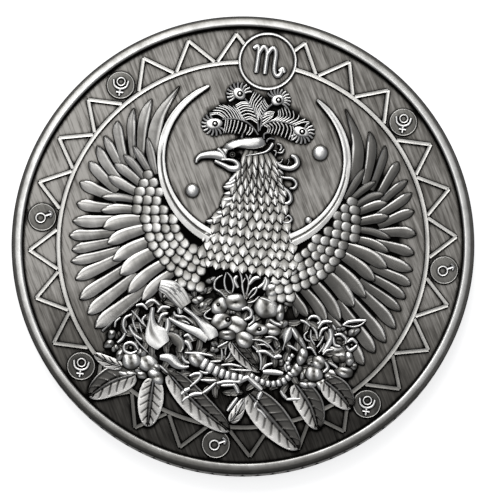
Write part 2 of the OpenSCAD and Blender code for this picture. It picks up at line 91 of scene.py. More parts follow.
# Matt white laminate, which is so evenly lit that it shows no shade of its own
laminate, shader = new_material("white laminate, matt")
shader.inputs["Base Color"].default_value = linear("#f7f7f7")
shader.inputs["Roughness"].default_value = 0.8
shader.inputs["Emission Color"].default_value = linear("#ffffff")
shader.inputs["Emission Strength"].default_value = 0.75

table = bmesh.new()
bmesh.ops.create_grid(table, x_segments=1, y_segments=1, size=1.5)
bmesh.ops.translate(table, verts=table.verts, vec=(0, 0, -0.00002))
mesh = bpy.data.meshes.new("table")
table.to_mesh(mesh)
table.free()
mesh.materials.append(laminate)
floor = bpy.data.objects.new("table", mesh)
scene.collection.objects.link(floor)

world = bpy.data.worlds.new("dim room")
world.use_nodes = True
world.node_tree.nodes["Background"].inputs["Color"].default_value = linear("#c9cbd0")
world.node_tree.nodes["Background"].inputs["Strength"].default_value = 0.3
scene.world = world


def softbox(name, place, aim, size, watts):
    """A square lamp at place that faces aim, in metres."""
    lamp = bpy.data.lights.new(name, "AREA")
    lamp.shape = "SQUARE"
    lamp.size = size
    lamp.energy = watts
    made = bpy.data.objects.new(name, lamp)
    made.location = place
    made.rotation_euler = (Vector(aim) - Vector(place)).to_track_quat("-Z", "Y").to_euler()
    scene.collection.objects.link(made)


softbox("main_softbox", (-0.12, 0.34, 0.46), (0, 0, 0), 0.36, 1.4)
softbox("top_softbox", (-0.10, 0.06, 0.75), (0, 0, 0), 0.36, 0.45)

image_up = Vector((-math.sin(ROLL), math.cos(ROLL), 0))
target = Vector((0.69, -0.55, 3.0)) * MM
camera_data = bpy.data.cameras.new("camera")
camera_data.lens = CAMERA_LENS
camera_data.sensor_width = 36
camera_data.clip_start = 0.01
camera = bpy.data.objects.new("camera", camera_data)
outwards = Vector((0, 0, math.cos(TILT))) - image_up * math.sin(TILT)
sideways = image_up.cross(outwards).normalized()
turn = Matrix((sideways, outwards.cross(sideways), outwards)).transposed()
camera.matrix_world = Matrix.Translation(target + outwards * CAMERA_REACH * MM) @ turn.to_4x4()
scene.collection.objects.link(camera)
scene.camera = camera

# ---- Blank ----
# The coin is a struck and silver plated disc with a brushed field and a reeded edge.
# It was blackened all over and rubbed back, so black stays in every corner and groove.

field_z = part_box("coin_blank")[1].z / MM
reverse_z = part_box("coin_blank")[0].z / MM
coin_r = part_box("coin_blank")[1].x / MM
REEDS = 96
REED_DEPTH = 0.12
REED_HALF = 0.24
CREASE = math.radians(46)
# Feet sink this far, so that no gap shows under a piece
SINK = 0.02
sunk_z = field_z - SINK


def antique_silver(name, dark, mid, bright, rough, grain, reach=0.3, keep=(0.42, 0.78), streaks=0.0):
    """Silver plate, blackened and rubbed back. Corners keep the black, and tops are rubbed bright.

    grain is the depth of its fine pitting, and reach is how far from a wall the black stays, in mm.
    """
    material, shader = new_material(name)
    space = node(material, "ShaderNodeTexCoord", {}, {}).outputs["Object"]
    # The per-point value holds the rubbing, and also the painted highlights and painted shade that some pieces
    # carry.
    rubbed = node(material, "ShaderNodeAttribute", {"attribute_name": "rub"}, {}).outputs["Fac"]
    corner = node(material, "ShaderNodeAmbientOcclusion", {"samples": 12},
                  {"Distance": reach * MM}).outputs["AO"]
    # Pits and scuffs 0.15 mm across, and cloudy patches 1.5 mm across
    pits = node(material, "ShaderNodeTexNoise", {}, {
        "Vector": space, "Scale": 1 / (0.15 * MM), "Detail": 3.0, "Roughness": 0.6}).outputs["Fac"]
    clouds = node(material, "ShaderNodeTexNoise", {}, {
        "Vector": space, "Scale": 1 / (1.5 * MM), "Detail": 3.0, "Roughness": 0.55}).outputs["Fac"]
    # Brush lines 0.2 mm apart and some 3 mm long, which run steeply down to the right
    turned = node(material, "ShaderNodeMapping", {"vector_type": "TEXTURE"}, {
        "Vector": space, "Rotation": (0, 0, math.radians(-62)), "Scale": (3, 0.2, 1)}).outputs["Vector"]
    lines = node(material, "ShaderNodeTexNoise", {}, {
        "Vector": turned, "Scale": 1 / MM, "Detail": 3.0, "Roughness": 0.65}).outputs["Fac"]
    edge = node(material, "ShaderNodeMath", {"operation": "MULTIPLY_ADD"}, {
        0: clouds, 1: 0.1, 2: corner}).outputs["Value"]
    open_top = node(material, "ShaderNodeMapRange", {"interpolation_type": "SMOOTHSTEP"}, {
        "Value": edge, "From Min": keep[0] + 0.05, "From Max": keep[1] + 0.05}).outputs["Result"]
    wear_and_painted_light = node(material, "ShaderNodeMath", {"operation": "MULTIPLY"}, {
        0: open_top, 1: rubbed}).outputs["Value"]
    brushed = node(material, "ShaderNodeMix", {"data_type": "FLOAT"}, {
        "Factor": 0.25 + 0.6 * streaks, 2: clouds, 3: lines}).outputs[0]
    spread = node(material, "ShaderNodeMath", {"operation": "MULTIPLY_ADD"}, {
        0: brushed, 1: 0.7 + 1.5 * streaks, 2: -0.35 - 0.75 * streaks}).outputs["Value"]
    worn_and_painted_light = node(material, "ShaderNodeMath", {"operation": "MULTIPLY_ADD", "use_clamp": True}, {
        0: spread, 1: wear_and_painted_light, 2: wear_and_painted_light}).outputs["Value"]
    ramp = node(material, "ShaderNodeValToRGB", {}, {"Fac": worn_and_painted_light})
    ramp.color_ramp.elements[0].color = linear(dark)
    ramp.color_ramp.elements[1].color = linear(bright)
    ramp.color_ramp.elements[0].position = 0.12
    ramp.color_ramp.elements[1].position = 0.95
    middle = ramp.color_ramp.elements.new(0.55)
    middle.color = linear(mid)
    material.node_tree.links.new(ramp.outputs["Color"], shader.inputs["Base Color"])
    roughness = node(material, "ShaderNodeMapRange", {}, {
        "Value": worn_and_painted_light, "To Min": 0.65, "To Max": rough}).outputs["Result"]
    material.node_tree.links.new(roughness, shader.inputs["Roughness"])
    relief = node(material, "ShaderNodeMix", {"data_type": "FLOAT"}, {
        "Factor": 0.15 + 0.7 * streaks, 2: pits, 3: lines}).outputs[0]
    bump = node(material, "ShaderNodeBump", {}, {
        "Height": relief, "Strength": 0.6, "Distance": grain * MM}).outputs["Normal"]
    material.node_tree.links.new(bump, shader.inputs["Normal"])
    shader.inputs["Metallic"].default_value = 1.0
    return material


def start_mesh():
    """An empty bmesh whose points carry how far the black was rubbed off them, and any painted highlight and
    painted shade.
    """
    bm = bmesh.new()
    bm.verts.layers.float.new("rub")
    return bm


def finish_piece(name, bm, material, nodes, smooth=True):
    """Turns a bmesh in mm into a piece in metres that rides on the coin and replaces CAD nodes."""
    bmesh.ops.remove_doubles(bm, verts=bm.verts, dist=0.0004)
    bmesh.ops.recalc_face_normals(bm, faces=bm.faces)
    if bm.calc_volume(signed=True) < 0:
        bmesh.ops.reverse_faces(bm, faces=bm.faces)
    bmesh.ops.scale(bm, vec=(MM, MM, MM), verts=bm.verts)
    mesh = bpy.data.meshes.new(name)
    bm.to_mesh(mesh)
    bm.free()
    mesh.materials.append(material)
    if smooth:
        mesh.shade_smooth()
        mesh.set_sharp_from_angle(angle=CREASE)
    piece = bpy.data.objects.new(name, mesh)
    scene.collection.objects.link(piece)
    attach(piece, "root")
    if nodes:
        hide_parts(*nodes)
    return piece


def spun(bm, section, steps, centre=(0, 0)):
    """Spins a section, a list of radius, height and rub, about an upright axis through centre.

    A section that doesn't reach the axis is a ring, and is closed from its last point to its first.
    """
    layer = bm.verts.layers.float["rub"]
    closed = section[0][0] > 0
    if not closed and section[-1][0] > 0:
        section = section + [(0, section[-1][1], 0)]
    verts = []
    for radius, height, share in section:
        vert = bm.verts.new((centre[0] + radius, centre[1], height))
        vert[layer] = share
        verts.append(vert)
    edges = [bm.edges.new((a, b)) for a, b in zip(verts, verts[1:])]
    if closed:
        edges.append(bm.edges.new((verts[-1], verts[0])))
    bmesh.ops.spin(bm, geom=verts + edges, angle=math.tau, steps=steps, use_merge=True,
                   axis=(0, 0, 1), cent=(*centre, 0))


field_silver = antique_silver("antique silver plate, brushed field", "#0d0c0b", "#6f6c67", "#a8a5a0",
                              rough=0.42, grain=0.012, reach=0.42, keep=(0.6, 0.92), streaks=0.9)
# Under the wings, the bouquet and the crest the ground was never rubbed
WING = [(-8.3, 10.3), (-9.9, 9.3), (-11.2, 8.2), (-12.3, 6.7), (-13.0, 5.0), (-13.4, 3.3), (-13.6, 1.5),
        (-13.6, -0.5), (-13.4, -2.2), (-12.7, -3.9), (-11.8, -5.8), (-10.5, -7.8), (-6.5, -4.5), (-3, -4),
        (-3, -1.2), (-5, 0), (-7.2, 2.6), (-8.3, 5.5)]
CREST = [(-4.9, 9.6), (-4.6, 11.4), (-3.4, 12.1), (-3.0, 13.4), (-1.5, 13.7), (-0.4, 13.3), (0.4, 13.3),
         (1.9, 13.5), (2.6, 12.4), (4.3, 11.6), (5.0, 10.2), (4.4, 9.2), (2.4, 9.6), (0.1, 9.3), (-2.0, 9.3),
         (-3.6, 9.0)]
BOUQUET = [(-10.6, -9.2), (-9.6, -7.3), (-7.7, -6.0), (-6.7, -4.6), (-4.0, -3.8), (-2.5, -1.6), (3.8, -1.8),
           (5.0, -4.2), (6.0, -5.5), (9.0, -5.9), (11.0, -5.8), (10.9, -9.8), (9.0, -12), (6.2, -13), (3.5, -14.4),
           (1.5, -14.8), (0, -14.4), (-2.9, -13.4), (-5.8, -12.9), (-9.4, -12.9), (-10.6, -10.6)]


def inside(x, y, outline):
    """True if the point is inside the outline."""
    odd = False
    for (x0, y0), (x1, y1) in zip(outline, outline[1:] + outline[:1]):
        if (y0 > y) != (y1 > y) and x < x0 + (y - y0) / (y1 - y0) * (x1 - x0):
            odd = not odd
    return odd


def between(low, high, share):
    """The value so far of the way from low to high."""
    return low + (high - low) * max(0, min(1, share))


def field_rub(x, y):
    """The field is rubbed least under the bouquet, the crest and the wings. Elsewhere it carries painted light:
    brightest at its left, darker towards its right and top, and darkest at its foot.
    """
    if inside(x, y, BOUQUET) or inside(x, y, CREST):
        return 0.16
    if inside(-abs(x), y, WING):
        return 0.1
    return max(0.16, (0.84 - 0.007 * x - 0.008 * max(0, y)) * between(1, 0.3, (-y - 3) / 11))


blank = start_mesh()
spun(blank, [(r / 2, field_z, 1) for r in range(39)] + [(19.02, field_z, 1),
    (coin_r - 0.16, field_z, 0.1), (coin_r, field_z - 0.05, 0.3), (coin_r, field_z - 0.4, 0.3),
    (coin_r, reverse_z + 0.4, 0.3), (coin_r, reverse_z + 0.05, 0.3), (coin_r - 0.16, reverse_z, 0.1),
    (19.02, reverse_z, 1), (12, reverse_z, 1), (0, reverse_z, 1)], 8 * REEDS)
rubbing = blank.verts.layers.float["rub"]
for vert in blank.verts:
    radius = math.hypot(vert.co.x, vert.co.y)
    if vert.co.z > field_z - 0.01 and radius < coin_r - 0.2:
        vert[rubbing] = field_rub(vert.co.x, vert.co.y)
    if radius > coin_r - 0.01:
        turn = math.atan2(vert.co.y, vert.co.x) * REEDS / math.tau
        across = abs(turn - round(turn)) * math.tau / REEDS * coin_r
        depth = REED_DEPTH * max(0, 1 - across / REED_HALF)
        vert.co.xy *= (radius - depth) / radius
finish_piece("struck_blank", blank, field_silver, ["coin_blank"])

# ---- Rims ----
# A raised rim runs round each face, with a rounded lip inside, a flat top and a dark bevel outside.
# Handling has rubbed the lip bright and left small nicks in it.

rim_silver = antique_silver("antique silver plate, rubbed rim", "#12110f", "#8a8883", "#efeeeb",
                            rough=0.3, grain=0.006, reach=0.3)
# Each point is its radius, its height over the field and how far it is rubbed
RIM_SECTION = [
    (19.03, -0.02, 0), (19.05, 0.42, 0.15), (19.09, 0.54, 0.8), (19.16, 0.595, 1), (19.26, 0.6, 1),
    (19.4, 0.59, 0.85), (19.6, 0.58, 0.7), (19.72, 0.56, 0.55), (19.84, 0.47, 0.3),
    (19.96, 0.32, 0.12), (20.0, 0.2, 0.08), (20.0, -0.02, 0)]
for name, level, up, slot_nodes in (("obverse_lip", field_z, 1, ["obverse_rim"]),
                                    ("reverse_lip", reverse_z, -0.4 / 0.6, ["reverse_rim"])):
    lip = start_mesh()
    spun(lip, [(r, level + up * z, rub) for r, z, rub in RIM_SECTION], 360)
    rubbing = lip.verts.layers.float["rub"]
    # Painted shade: the lip is darker towards the foot of the coin, and a little darker at its top.
    for vert in lip.verts:
        vert[rubbing] *= between(1, 0.7, (-vert.co.y - 9) / 9) * between(1, 0.9, (vert.co.y - 12) / 6)
    finish_piece(name, lip, rim_silver, slot_nodes)

# ---- Border lines ----
# A ring line with a zigzag of open triangles outside it stands on the field of each face.
# The bars are flat topped, and the rubbing has brightened both of their edges.


def on_curve(points, t):
    """The place at t, from 0 to 1, on a smooth curve through the points."""
    count = len(points) - 1
    i = min(int(t * count), count - 1)
    f = t * count - i
    a, b, c, d = (Vector(points[max(0, min(count, i + k))]) for k in (-1, 0, 1, 2))
    return b + 0.5 * f * (c - a + f * (2 * a - 5 * b + 4 * c - d + f * (3 * (b - c) + d - a)))


def strip(bm, path, half, lift, rows=(20, 6), foot=field_z, skirt=0.045, crown=0.35, rub=1.0,
          shape=None, ease=1.0, ledge=0.0):
    """A raised strip along a smooth path, which is closed and has a black skirt down to its foot.

    half(t) and lift(t) give its half width and height at t, from 0 at its root to 1 at its tip.
    crown is how much lower its sides are than its middle. shape(t, v) adds to the height at v,
    from -1 at the right side to 1 at the left, and rub(t, v) gives how far it is rubbed, together with any painted
    highlight and painted shade.
    ledge lifts the foot of the skirt so far towards the top, so that it shows over lower neighbours.
    """
    layer = bm.verts.layers.float["rub"]
    made = bmesh.ops.create_grid(bm, x_segments=rows[0], y_segments=rows[1], size=1)["verts"]
    stations = {}
    for vert in made:
        gx, gy = vert.co.x, vert.co.y
        key = round(gx, 4)
        if key not in stations:
            t = (max(-1, min(1, gx / (1 - 2 / rows[0]))) + 1) / 2
            t = 1 - (1 - t) ** ease
            ahead = (on_curve(path, min(1, t + 0.01)) - on_curve(path, max(0, t - 0.01))).normalized()
            stations[key] = (t, on_curve(path, t), ahead, Vector((-ahead.y, ahead.x)),
                             half(t) if callable(half) else half,
                             lift(t) if callable(lift) else lift)
        t, place, ahead, side, wide, high = stations[key]
        v = max(-1, min(1, gy / (1 - 2 / rows[1])))
        at = place + side * (v * max(wide - skirt, 0.01))
        if abs(gx) > 0.999 or abs(gy) > 0.999:
            if abs(gy) > 0.999:
                at += side * math.copysign(skirt, gy)
            if abs(gx) > 0.999:
                at += ahead * math.copysign(skirt, gx)
            vert.co = (at.x, at.y, foot + high * ledge)
            vert[layer] = 0
        else:
            z = foot + high - min(crown * high, 0.3 * wide) * v * v + (shape(t, v) if shape else 0)
            vert.co = (at.x, at.y, z)
            vert[layer] = rub(t, v) if callable(rub) else rub
    rim = [e for v in made for e in v.link_edges if e.is_boundary]
    under = bmesh.ops.holes_fill(bm, edges=list(set(rim)))["faces"]
    if ledge:
        sunk = bmesh.ops.extrude_face_region(bm, geom=under)["geom"]
        bmesh.ops.delete(bm, geom=under, context="FACES_ONLY")
        for vert in (g for g in sunk if isinstance(g, bmesh.types.BMVert)):
            vert.co.z = foot


line_silver = antique_silver("antique silver plate, rubbed line", "#0f0e0d", "#8f8d88", "#d9d7d2",
                             rough=0.34, grain=0.006, reach=0.14, keep=(0.25, 0.6))
ring_out = 16.15
ring_in = 15.75
tip_r = 18.75
line_h = 0.2
BAR_W = 0.34
SECTOR = 45
PITCH = 13.1
SIGN_AT = (0, 16.17)
SIGN_R = 2.6


def polar(radius, degrees):
    """A point by its radius and its angle clockwise from the top."""
    return (radius * math.sin(math.radians(degrees)), radius * math.cos(math.radians(degrees)))


def place_rub(x, y):
    """Painted shade on the lines: darker towards the foot of the coin, and a little darker at its right."""
    return between(1, 0.42, (-y - 5) / 11) - 0.006 * max(0, x)


def bar(bm, a, b, wide, high, foot=field_z, rub=1.0):
    """A straight flat bar from a to b."""
    strip(bm, [a, b], wide / 2, high, rows=(8, 6), foot=foot, skirt=0.03, crown=0.0, rub=rub,
          shape=lambda t, v: -math.copysign(0.015, high) * (1 - v * v))


# The ring stops at the large roundel, so many degrees to each side of the top
RING_STOP = 8.9
ring_line = start_mesh()
arc = [polar((ring_in + ring_out) / 2, RING_STOP + (360 - 2 * RING_STOP) * i / 90) for i in range(91)]
strip(ring_line, arc, (ring_out - ring_in) / 2, line_h + SINK, rows=(450, 6), foot=sunk_z, skirt=0.04, crown=0,
      shape=lambda t, v: -0.015 * (1 - v * v), rub=lambda t, v: place_rub(*on_curve(arc, t)))
finish_piece("ring_line", ring_line, line_silver, ["obverse_ring"])


def zigzag(bm, foot, high):
    """Three open triangles after each roundel."""
    for sector in range(8):
        for k in (-1, 0, 1):
            middle = sector * SECTOR + SECTOR / 2 + k * PITCH
            tip = polar(tip_r - 0.3, middle)
            for side in (-1, 1):
                root = Vector(polar(ring_out, middle + side * (PITCH / 2 - 0.45)))
                while foot > 1 and (root - Vector(SIGN_AT)).length < SIGN_R - 0.1:
                    root += 0.05 * (Vector(tip) - root).normalized()
                bar(bm, root, tip, BAR_W, high, foot, place_rub(*tip))


triangles = start_mesh()
zigzag(triangles, sunk_z, line_h + SINK)
finish_piece("triangle_bars", triangles, line_silver, ["obverse_triangles"])

# ---- Roundels and signs ----
# A large outlined roundel at the top holds a zodiac sign, and seven small raised discs hold planet signs.
# They are struck in one blow with the coin, and the signs stand up with rounded tops.

disc_silver = antique_silver("antique silver plate, disc", "#100f0e", "#86847f", "#c4c2bd",
                             rough=0.38, grain=0.01, keep=(0.55, 0.92), streaks=0.5)
fine_silver = antique_silver("antique silver plate, rubbed fine relief", "#0f0e0d", "#a19f9a", "#f6f5f2",
                             rough=0.32, grain=0.008, reach=0.16, keep=(0.22, 0.55))
SIGN_LINE = 0.32
PLANET_AT_R = 17.52
PLANET_R = 1.25
CUP_R = 0.66
disc_h = 0.16


def oval(x, y, long, wide, turn=0, point=0.0, count=20):
    """Outline of an oval whose long axis is turned by so many degrees. point narrows its far end."""
    places = []
    for i in range(count):
        a = math.tau * i / count
        along = long / 2 * math.cos(a)
        across = wide / 2 * math.sin(a) * (1 - point * (1 + math.cos(a)) / 2)
        c, s = math.cos(math.radians(turn)), math.sin(math.radians(turn))
        places.append((x + along * c - across * s, y + along * s + across * c))
    return places


def pad(bm, outline, lift, foot=field_z, skirt=0.05, crown=0.22, rub=1.0, ledge=0.0):
    """A closed raised shape with a domed top over an outline, and a black skirt down to its foot.

    ledge lifts the foot of the skirt so far towards the top, so that it shows over lower neighbours.
    """
    layer = bm.verts.layers.float["rub"]
    ring = [bm.verts.new((x, y, foot)) for x, y in outline]
    face = bm.faces.new(ring)
    for vert in ring:
        vert[layer] = 0
    face.normal_update()
    if face.normal.z < 0:
        face.normal_flip()
    centre = sum((v.co.to_2d() for v in ring), Vector((0, 0))) / len(ring)
    spread = sum((v.co.to_2d() - centre).length for v in ring) / len(ring)
    space = Matrix.Translation((-centre.x, -centre.y, 0))
    inset = min(skirt, spread * 0.35) / spread
    dome = min(lift * crown, 0.3 * spread)
    sizes = [1 - inset, 1 - 1.9 * inset, (1 - 1.9 * inset) * 0.72, (1 - 1.9 * inset) * 0.36]
    rises = [lift - dome, dome * 0.5, dome * 0.35, dome * 0.15]
    if ledge:
        sizes.insert(0, 0.999)
        rises[:1] = [rises[0] * ledge, rises[0] * (1 - ledge)]
    size = 1
    for new_size, rise in zip(sizes, rises):
        grown = bmesh.ops.extrude_face_region(bm, geom=[face])["geom"]
        if size < 1:
            bmesh.ops.delete(bm, geom=[face], context="FACES_ONLY")
        verts = [g for g in grown if isinstance(g, bmesh.types.BMVert)]
        face = next(g for g in grown if isinstance(g, bmesh.types.BMFace))
        factor = new_size / size
        bmesh.ops.scale(bm, vec=(factor, factor, 1), space=space, verts=verts)
        bmesh.ops.translate(bm, vec=(0, 0, rise), verts=verts)
        for vert in verts:
            vert[layer] = rub * (0 if new_size == 0.999 else 0.8 if size > 0.99 else 1)
        size = new_size
    bmesh.ops.poke(bm, faces=[face])
    return centre


def ring_section(inner, outer, z0, h, edge=0.09):
    """Section of a ring line with rubbed edges and a slightly hollow top."""
    return [(inner, z0, 0), (inner + edge / 3, z0 + h * 0.8, 0.8),
            (inner + edge, z0 + h, 1), ((inner + outer) / 2, z0 + h * 0.93, 1),
            (outer - edge, z0 + h, 1), (outer - edge / 3, z0 + h * 0.8, 0.8), (outer, z0, 0)]


roundel = start_mesh()
spun(roundel, ring_section(SIGN_R - SIGN_LINE, SIGN_R, sunk_z, line_h + 0.05), 96, SIGN_AT)
finish_piece("large_roundel_line", roundel, fine_silver, ["sign_roundel"])

zodiac = start_mesh()
for points in ([(-1.32, 0.95), (-1.02, 1.2), (-0.86, 0.8), (-0.86, -1.15)],
               [(-0.86, 0.55), (-0.5, 1.2), (-0.12, 0.85), (-0.1, -0.2), (-0.1, -1.15)],
               [(-0.1, 0.55), (0.28, 1.2), (0.64, 0.85), (0.66, -0.6), (0.9, -1.15), (1.2, -1.1),
                (1.38, -0.6)],
               [(1.15, -0.78), (1.42, -0.5), (1.58, -0.82)]):
    strip(zodiac, [(SIGN_AT[0] + x, SIGN_AT[1] + y) for x, y in points], 0.2, 0.26, rows=(30, 6),
          skirt=0.035, crown=0.3)
finish_piece("scorpio_sign_strokes", zodiac, fine_silver, ["scorpio_sign"])

discs = start_mesh()
mars = start_mesh()
pluto = start_mesh()
for place in range(1, 8):
    cx, cy = polar(PLANET_AT_R, 45 * place)
    # Painted shade: the discs are darker towards the foot of the coin.
    pad(discs, oval(cx, cy, 2 * PLANET_R, 2 * PLANET_R, count=40), disc_h + SINK, foot=sunk_z,
        crown=0.1, rub=between(0.5, 0.3, -cy / 12))
    spun(discs, ring_section(PLANET_R - 0.19, PLANET_R - 0.02, field_z, disc_h + SINK, 0.05), 40, (cx, cy))
    top = field_z + disc_h - 0.03
    if place % 2:
        spun(pluto, ring_section(0.26, 0.43, top, 0.2, edge=0.04), 24, (cx, cy + 0.3))
        cup = [(cx + CUP_R * math.sin(a), cy + 0.3 - CUP_R * math.cos(a))
               for a in (-1.75, -1, -0.5, 0, 0.5, 1, 1.75)]
        strip(pluto, cup, 0.11, 0.2, rows=(20, 4), foot=top, skirt=0.03)
        bar(pluto, (cx, cy - 0.3), (cx, cy - 0.98), 0.21, 0.2, top)
        bar(pluto, (cx - 0.3, cy - 0.64), (cx + 0.32, cy - 0.64), 0.19, 0.2, top)
    else:
        spun(mars, ring_section(0.31, 0.49, top, 0.2, edge=0.04), 28, (cx - 0.12, cy - 0.1))
        bar(mars, (cx + 0.24, cy + 0.12), (cx + 0.72, cy + 0.36), 0.2, 0.2, top)
        strip(mars, [(cx + 0.5, cy + 0.58), (cx + 0.8, cy + 0.4), (cx + 0.72, cy + 0.05)], 0.1, 0.2,
              rows=(12, 4), foot=top, skirt=0.03)
finish_piece("planet_discs", discs, disc_silver, ["planet_roundels"])
finish_piece("mars_sign_strokes", mars, fine_silver, ["mars_signs"])
finish_piece("pluto_sign_strokes", pluto, fine_silver, ["pluto_signs"])

# ---- Crescent and orbs ----
# The crescent lies in front of the wings and behind the neck. A groove splits its thick lower part
# into a bright inner band and a greyer outer band. Three small domes float beside it.


def crescent_edge(a, half_wide, low, high):
    """A point on one of the crescent's two edges, at angle a up from its lowest point."""
    y = -math.cos(a)
    return Vector((half_wide * math.sin(a), 7.4 + y * (high if y > 0 else low)))


def bell(x, middle, wide):
    """1 at the middle, falling softly to 0 about so wide to each side."""
    return math.exp(-((x - middle) / wide) ** 2)


crescent = start_mesh()
steps = 28
horn_reach = math.radians(144)
angles = [horn_reach * (2 * i / steps - 1) for i in range(steps + 1)]
outer = [crescent_edge(a, 8.42, 8.4, 7.35) for a in angles]
inner = [crescent_edge(a, 7.72, 7.05, 7.22) for a in angles]
middles = [(p + q) / 2 for p, q in zip(outer, inner)]
widths = [(p - q).length / 2 for p, q in zip(outer, inner)]


def crescent_half(t):
    """Half width of the crescent along its length."""
    i = min(int(t * steps), steps - 1)
    f = t * steps - i
    ends = min(1, 24 * min(t, 1 - t) + 0.3)
    return max(0.17, widths[i] * (1 - f) + widths[i + 1] * f) * ends ** 0.5


GROOVE_AT = 0.1


def crescent_shape(t, v):
    """The groove, and the outer band that falls away from the inner one."""
    low = max(0, 1 - abs(t - 0.5) / 0.33) ** 0.5
    outer_fall = max(0, -v)
    return -0.2 * low * bell(v, GROOVE_AT, 0.1) - 0.02 * outer_fall - 0.03 * (1 - low) * bell(v, -0.2, 0.5)


# The neck hides the lowest part, so each horn stops under the feathers
for first, count in ((0, 12), (steps - 11, 11)):
    strip(crescent, middles[first:first + count + 1], lambda t: crescent_half((first + t * count) / steps), 0.5,
          rows=(80, 14), crown=0.03, shape=lambda t, v: crescent_shape((first + t * count) / steps, v),
          rub=lambda t, v: (0.95 if v > 0 else 0.84) * (
              1 - 0.9 * bell(v, GROOVE_AT, 0.12) * (abs((first + t * count) / steps - 0.5) < 0.3)))
finish_piece("crescent_bands", crescent, fine_silver, ["crescent"])

orbs = start_mesh()
for x, y, radius, lift in ((-4.95, 4.0, 0.62, 0.42), (5.6, 8.75, 0.7, 0.42), (5.35, 2.75, 0.34, 0.32)):
    section = [(radius * k / 10, sunk_z + lift * (1 - 0.3 * (k / 10) ** 2 - 0.5 * (k / 10) ** 9), 1)
               for k in range(10)]
    spun(orbs, section + [(radius, field_z - 0.05, 0)], 40, (x, y))
finish_piece("orb_domes", orbs, fine_silver, ["orbs"])

# ---- Wings ----
# Long flight feathers lie under a row of coverts, and rounded scales cover the shoulder.
# Each feather is a smooth blade whose upper edge carries a painted highlight.

relief_silver = antique_silver("antique silver plate, struck relief", "#0c0b0a", "#7d7b77", "#e8e6e2",
                               rough=0.34, grain=0.014, reach=0.34, keep=(0.5, 0.85))
bright_silver = antique_silver("antique silver plate, rubbed bright", "#0c0b0a", "#8c8a85", "#f4f3f0",
                               rough=0.3, grain=0.014, reach=0.34, keep=(0.5, 0.85))
# Each feather is its path from root to tip, its width, the share of it that tapers, and the tip that
# its mirrored copy has on the right wing.
PRIMARIES = [
    ([(-8.5, 5.3), (-8.85, 8.0), (-8.6, 10.3), (-7.3, 12.95)], 1.2, 0.75, (7.3, 12.85)),
    ([(-9.8, 6.5), (-9.98, 8.6), (-9.9, 10.2), (-9.55, 11.5)], 0.92, 0.5, (9.6, 11.15)),
    ([(-10.4, 6.1), (-10.8, 7.9), (-11.0, 9.4), (-10.95, 10.5)], 0.75, 0.5, (11.1, 10.1)),
    ([(-11.0, 5.4), (-11.75, 7.4), (-12.1, 8.5), (-12.2, 9.2)], 0.88, 0.5, (12.4, 8.85)),
    ([(-11.2, 4.9), (-12.3, 6.5), (-13.15, 7.75)], 0.78, 0.45, (13.4, 7.35)),
    ([(-11.2, 3.9), (-12.7, 5.4), (-13.65, 6.8)], 0.9, 0.45, (13.9, 6.3)),
    ([(-11.4, 3.1), (-13.1, 4.4), (-14.15, 5.35)], 0.92, 0.45, (14.3, 4.75)),
    ([(-11.3, 2.4), (-13.0, 2.9), (-14.0, 3.2), (-14.7, 3.45)], 1.0, 0.45, (14.7, 2.75)),
    ([(-11.3, 1.6), (-13.0, 1.5), (-14.0, 1.52), (-14.7, 1.6)], 1.0, 0.45, (14.75, 1.05)),
    ([(-11.3, 0.6), (-13.0, 0.2), (-14.85, 0.02)], 1.08, 0.4, (14.8, -0.4)),
    ([(-11.1, -0.5), (-13.0, -0.95), (-14.2, -1.15), (-14.95, -1.3)], 0.95, 0.4, (14.8, -1.7)),
    ([(-10.8, -1.2), (-12.8, -1.9), (-13.8, -2.25), (-14.55, -2.5)], 0.92, 0.35, (14.5, -2.9)),
    ([(-10.4, -1.9), (-12.4, -2.8), (-13.5, -3.2), (-14.5, -3.5)], 0.92, 0.35, (14.25, -4.0)),
    ([(-9.8, -2.2), (-12.0, -3.7), (-13.0, -4.35), (-13.9, -5.0)], 1.08, 0.22, (14.0, -5.6)),
    ([(-9.2, -3.0), (-11.5, -5.0), (-12.5, -5.9), (-13.3, -6.65)], 1.08, 0.2, (13.3, -6.9)),
    ([(-8.7, -3.9), (-10.7, -6.0), (-11.7, -7.05), (-12.45, -7.85)], 1.14, 0.2, (12.5, -7.9)),
    ([(-7.6, -4.8), (-9.8, -7.0), (-10.8, -8.0), (-11.65, -8.95)], 1.2, 0.2, (11.7, -9.1)),
]
COVERTS = [
    ([(-8.3, 5.0), (-8.9, 6.6), (-9.45, 8.1)], 0.76, 0.5, (9.6, 7.9)),
    ([(-8.7, 4.9), (-9.7, 6.2), (-10.55, 7.2)], 0.68, 0.5, (10.7, 6.9)),
    ([(-9.1, 4.4), (-10.3, 5.6), (-11.25, 6.3)], 0.72, 0.45, (11.5, 5.9)),
    ([(-9.3, 3.9), (-10.8, 4.85), (-11.95, 5.45)], 0.86, 0.45, (11.9, 5.15)),
    ([(-9.4, 3.1), (-11.0, 3.72), (-12.35, 4.3)], 0.9, 0.45, (12.2, 4.0)),
    ([(-9.4, 2.5), (-11.0, 2.6), (-12.65, 2.4)], 0.7, 0.4, (12.6, 2.1)),
    ([(-9.2, 1.7), (-11.0, 1.6), (-12.55, 1.2)], 0.86, 0.4, (12.6, 0.9)),
    ([(-8.9, 0.9), (-10.7, 0.5), (-12.15, -0.22)], 1.2, 0.4, (12.6, -0.5)),
    ([(-8.5, 0.2), (-10.2, -0.6), (-11.6, -1.55)], 1.12, 0.4, (11.7, -1.75)),
    ([(-8.0, -0.8), (-9.5, -1.75), (-10.95, -2.95)], 1.15, 0.4, (11.1, -3.3)),
    ([(-7.3, -1.6), (-8.75, -2.7), (-10.15, -4.1)], 1.36, 0.4, (10.2, -4.2)),
    ([(-6.3, -2.4), (-8.0, -3.95), (-9.25, -5.6)], 1.1, 0.3, (9.2, -5.6)),
    ([(-5.4, -3.0), (-7.0, -4.6), (-7.95, -6.1)], 1.0, 0.3, (8.0, -5.8)),
    ([(-4.4, -3.4), (-5.4, -4.6), (-6.2, -5.6)], 0.9, 0.3, (6.4, -5.6)),
]


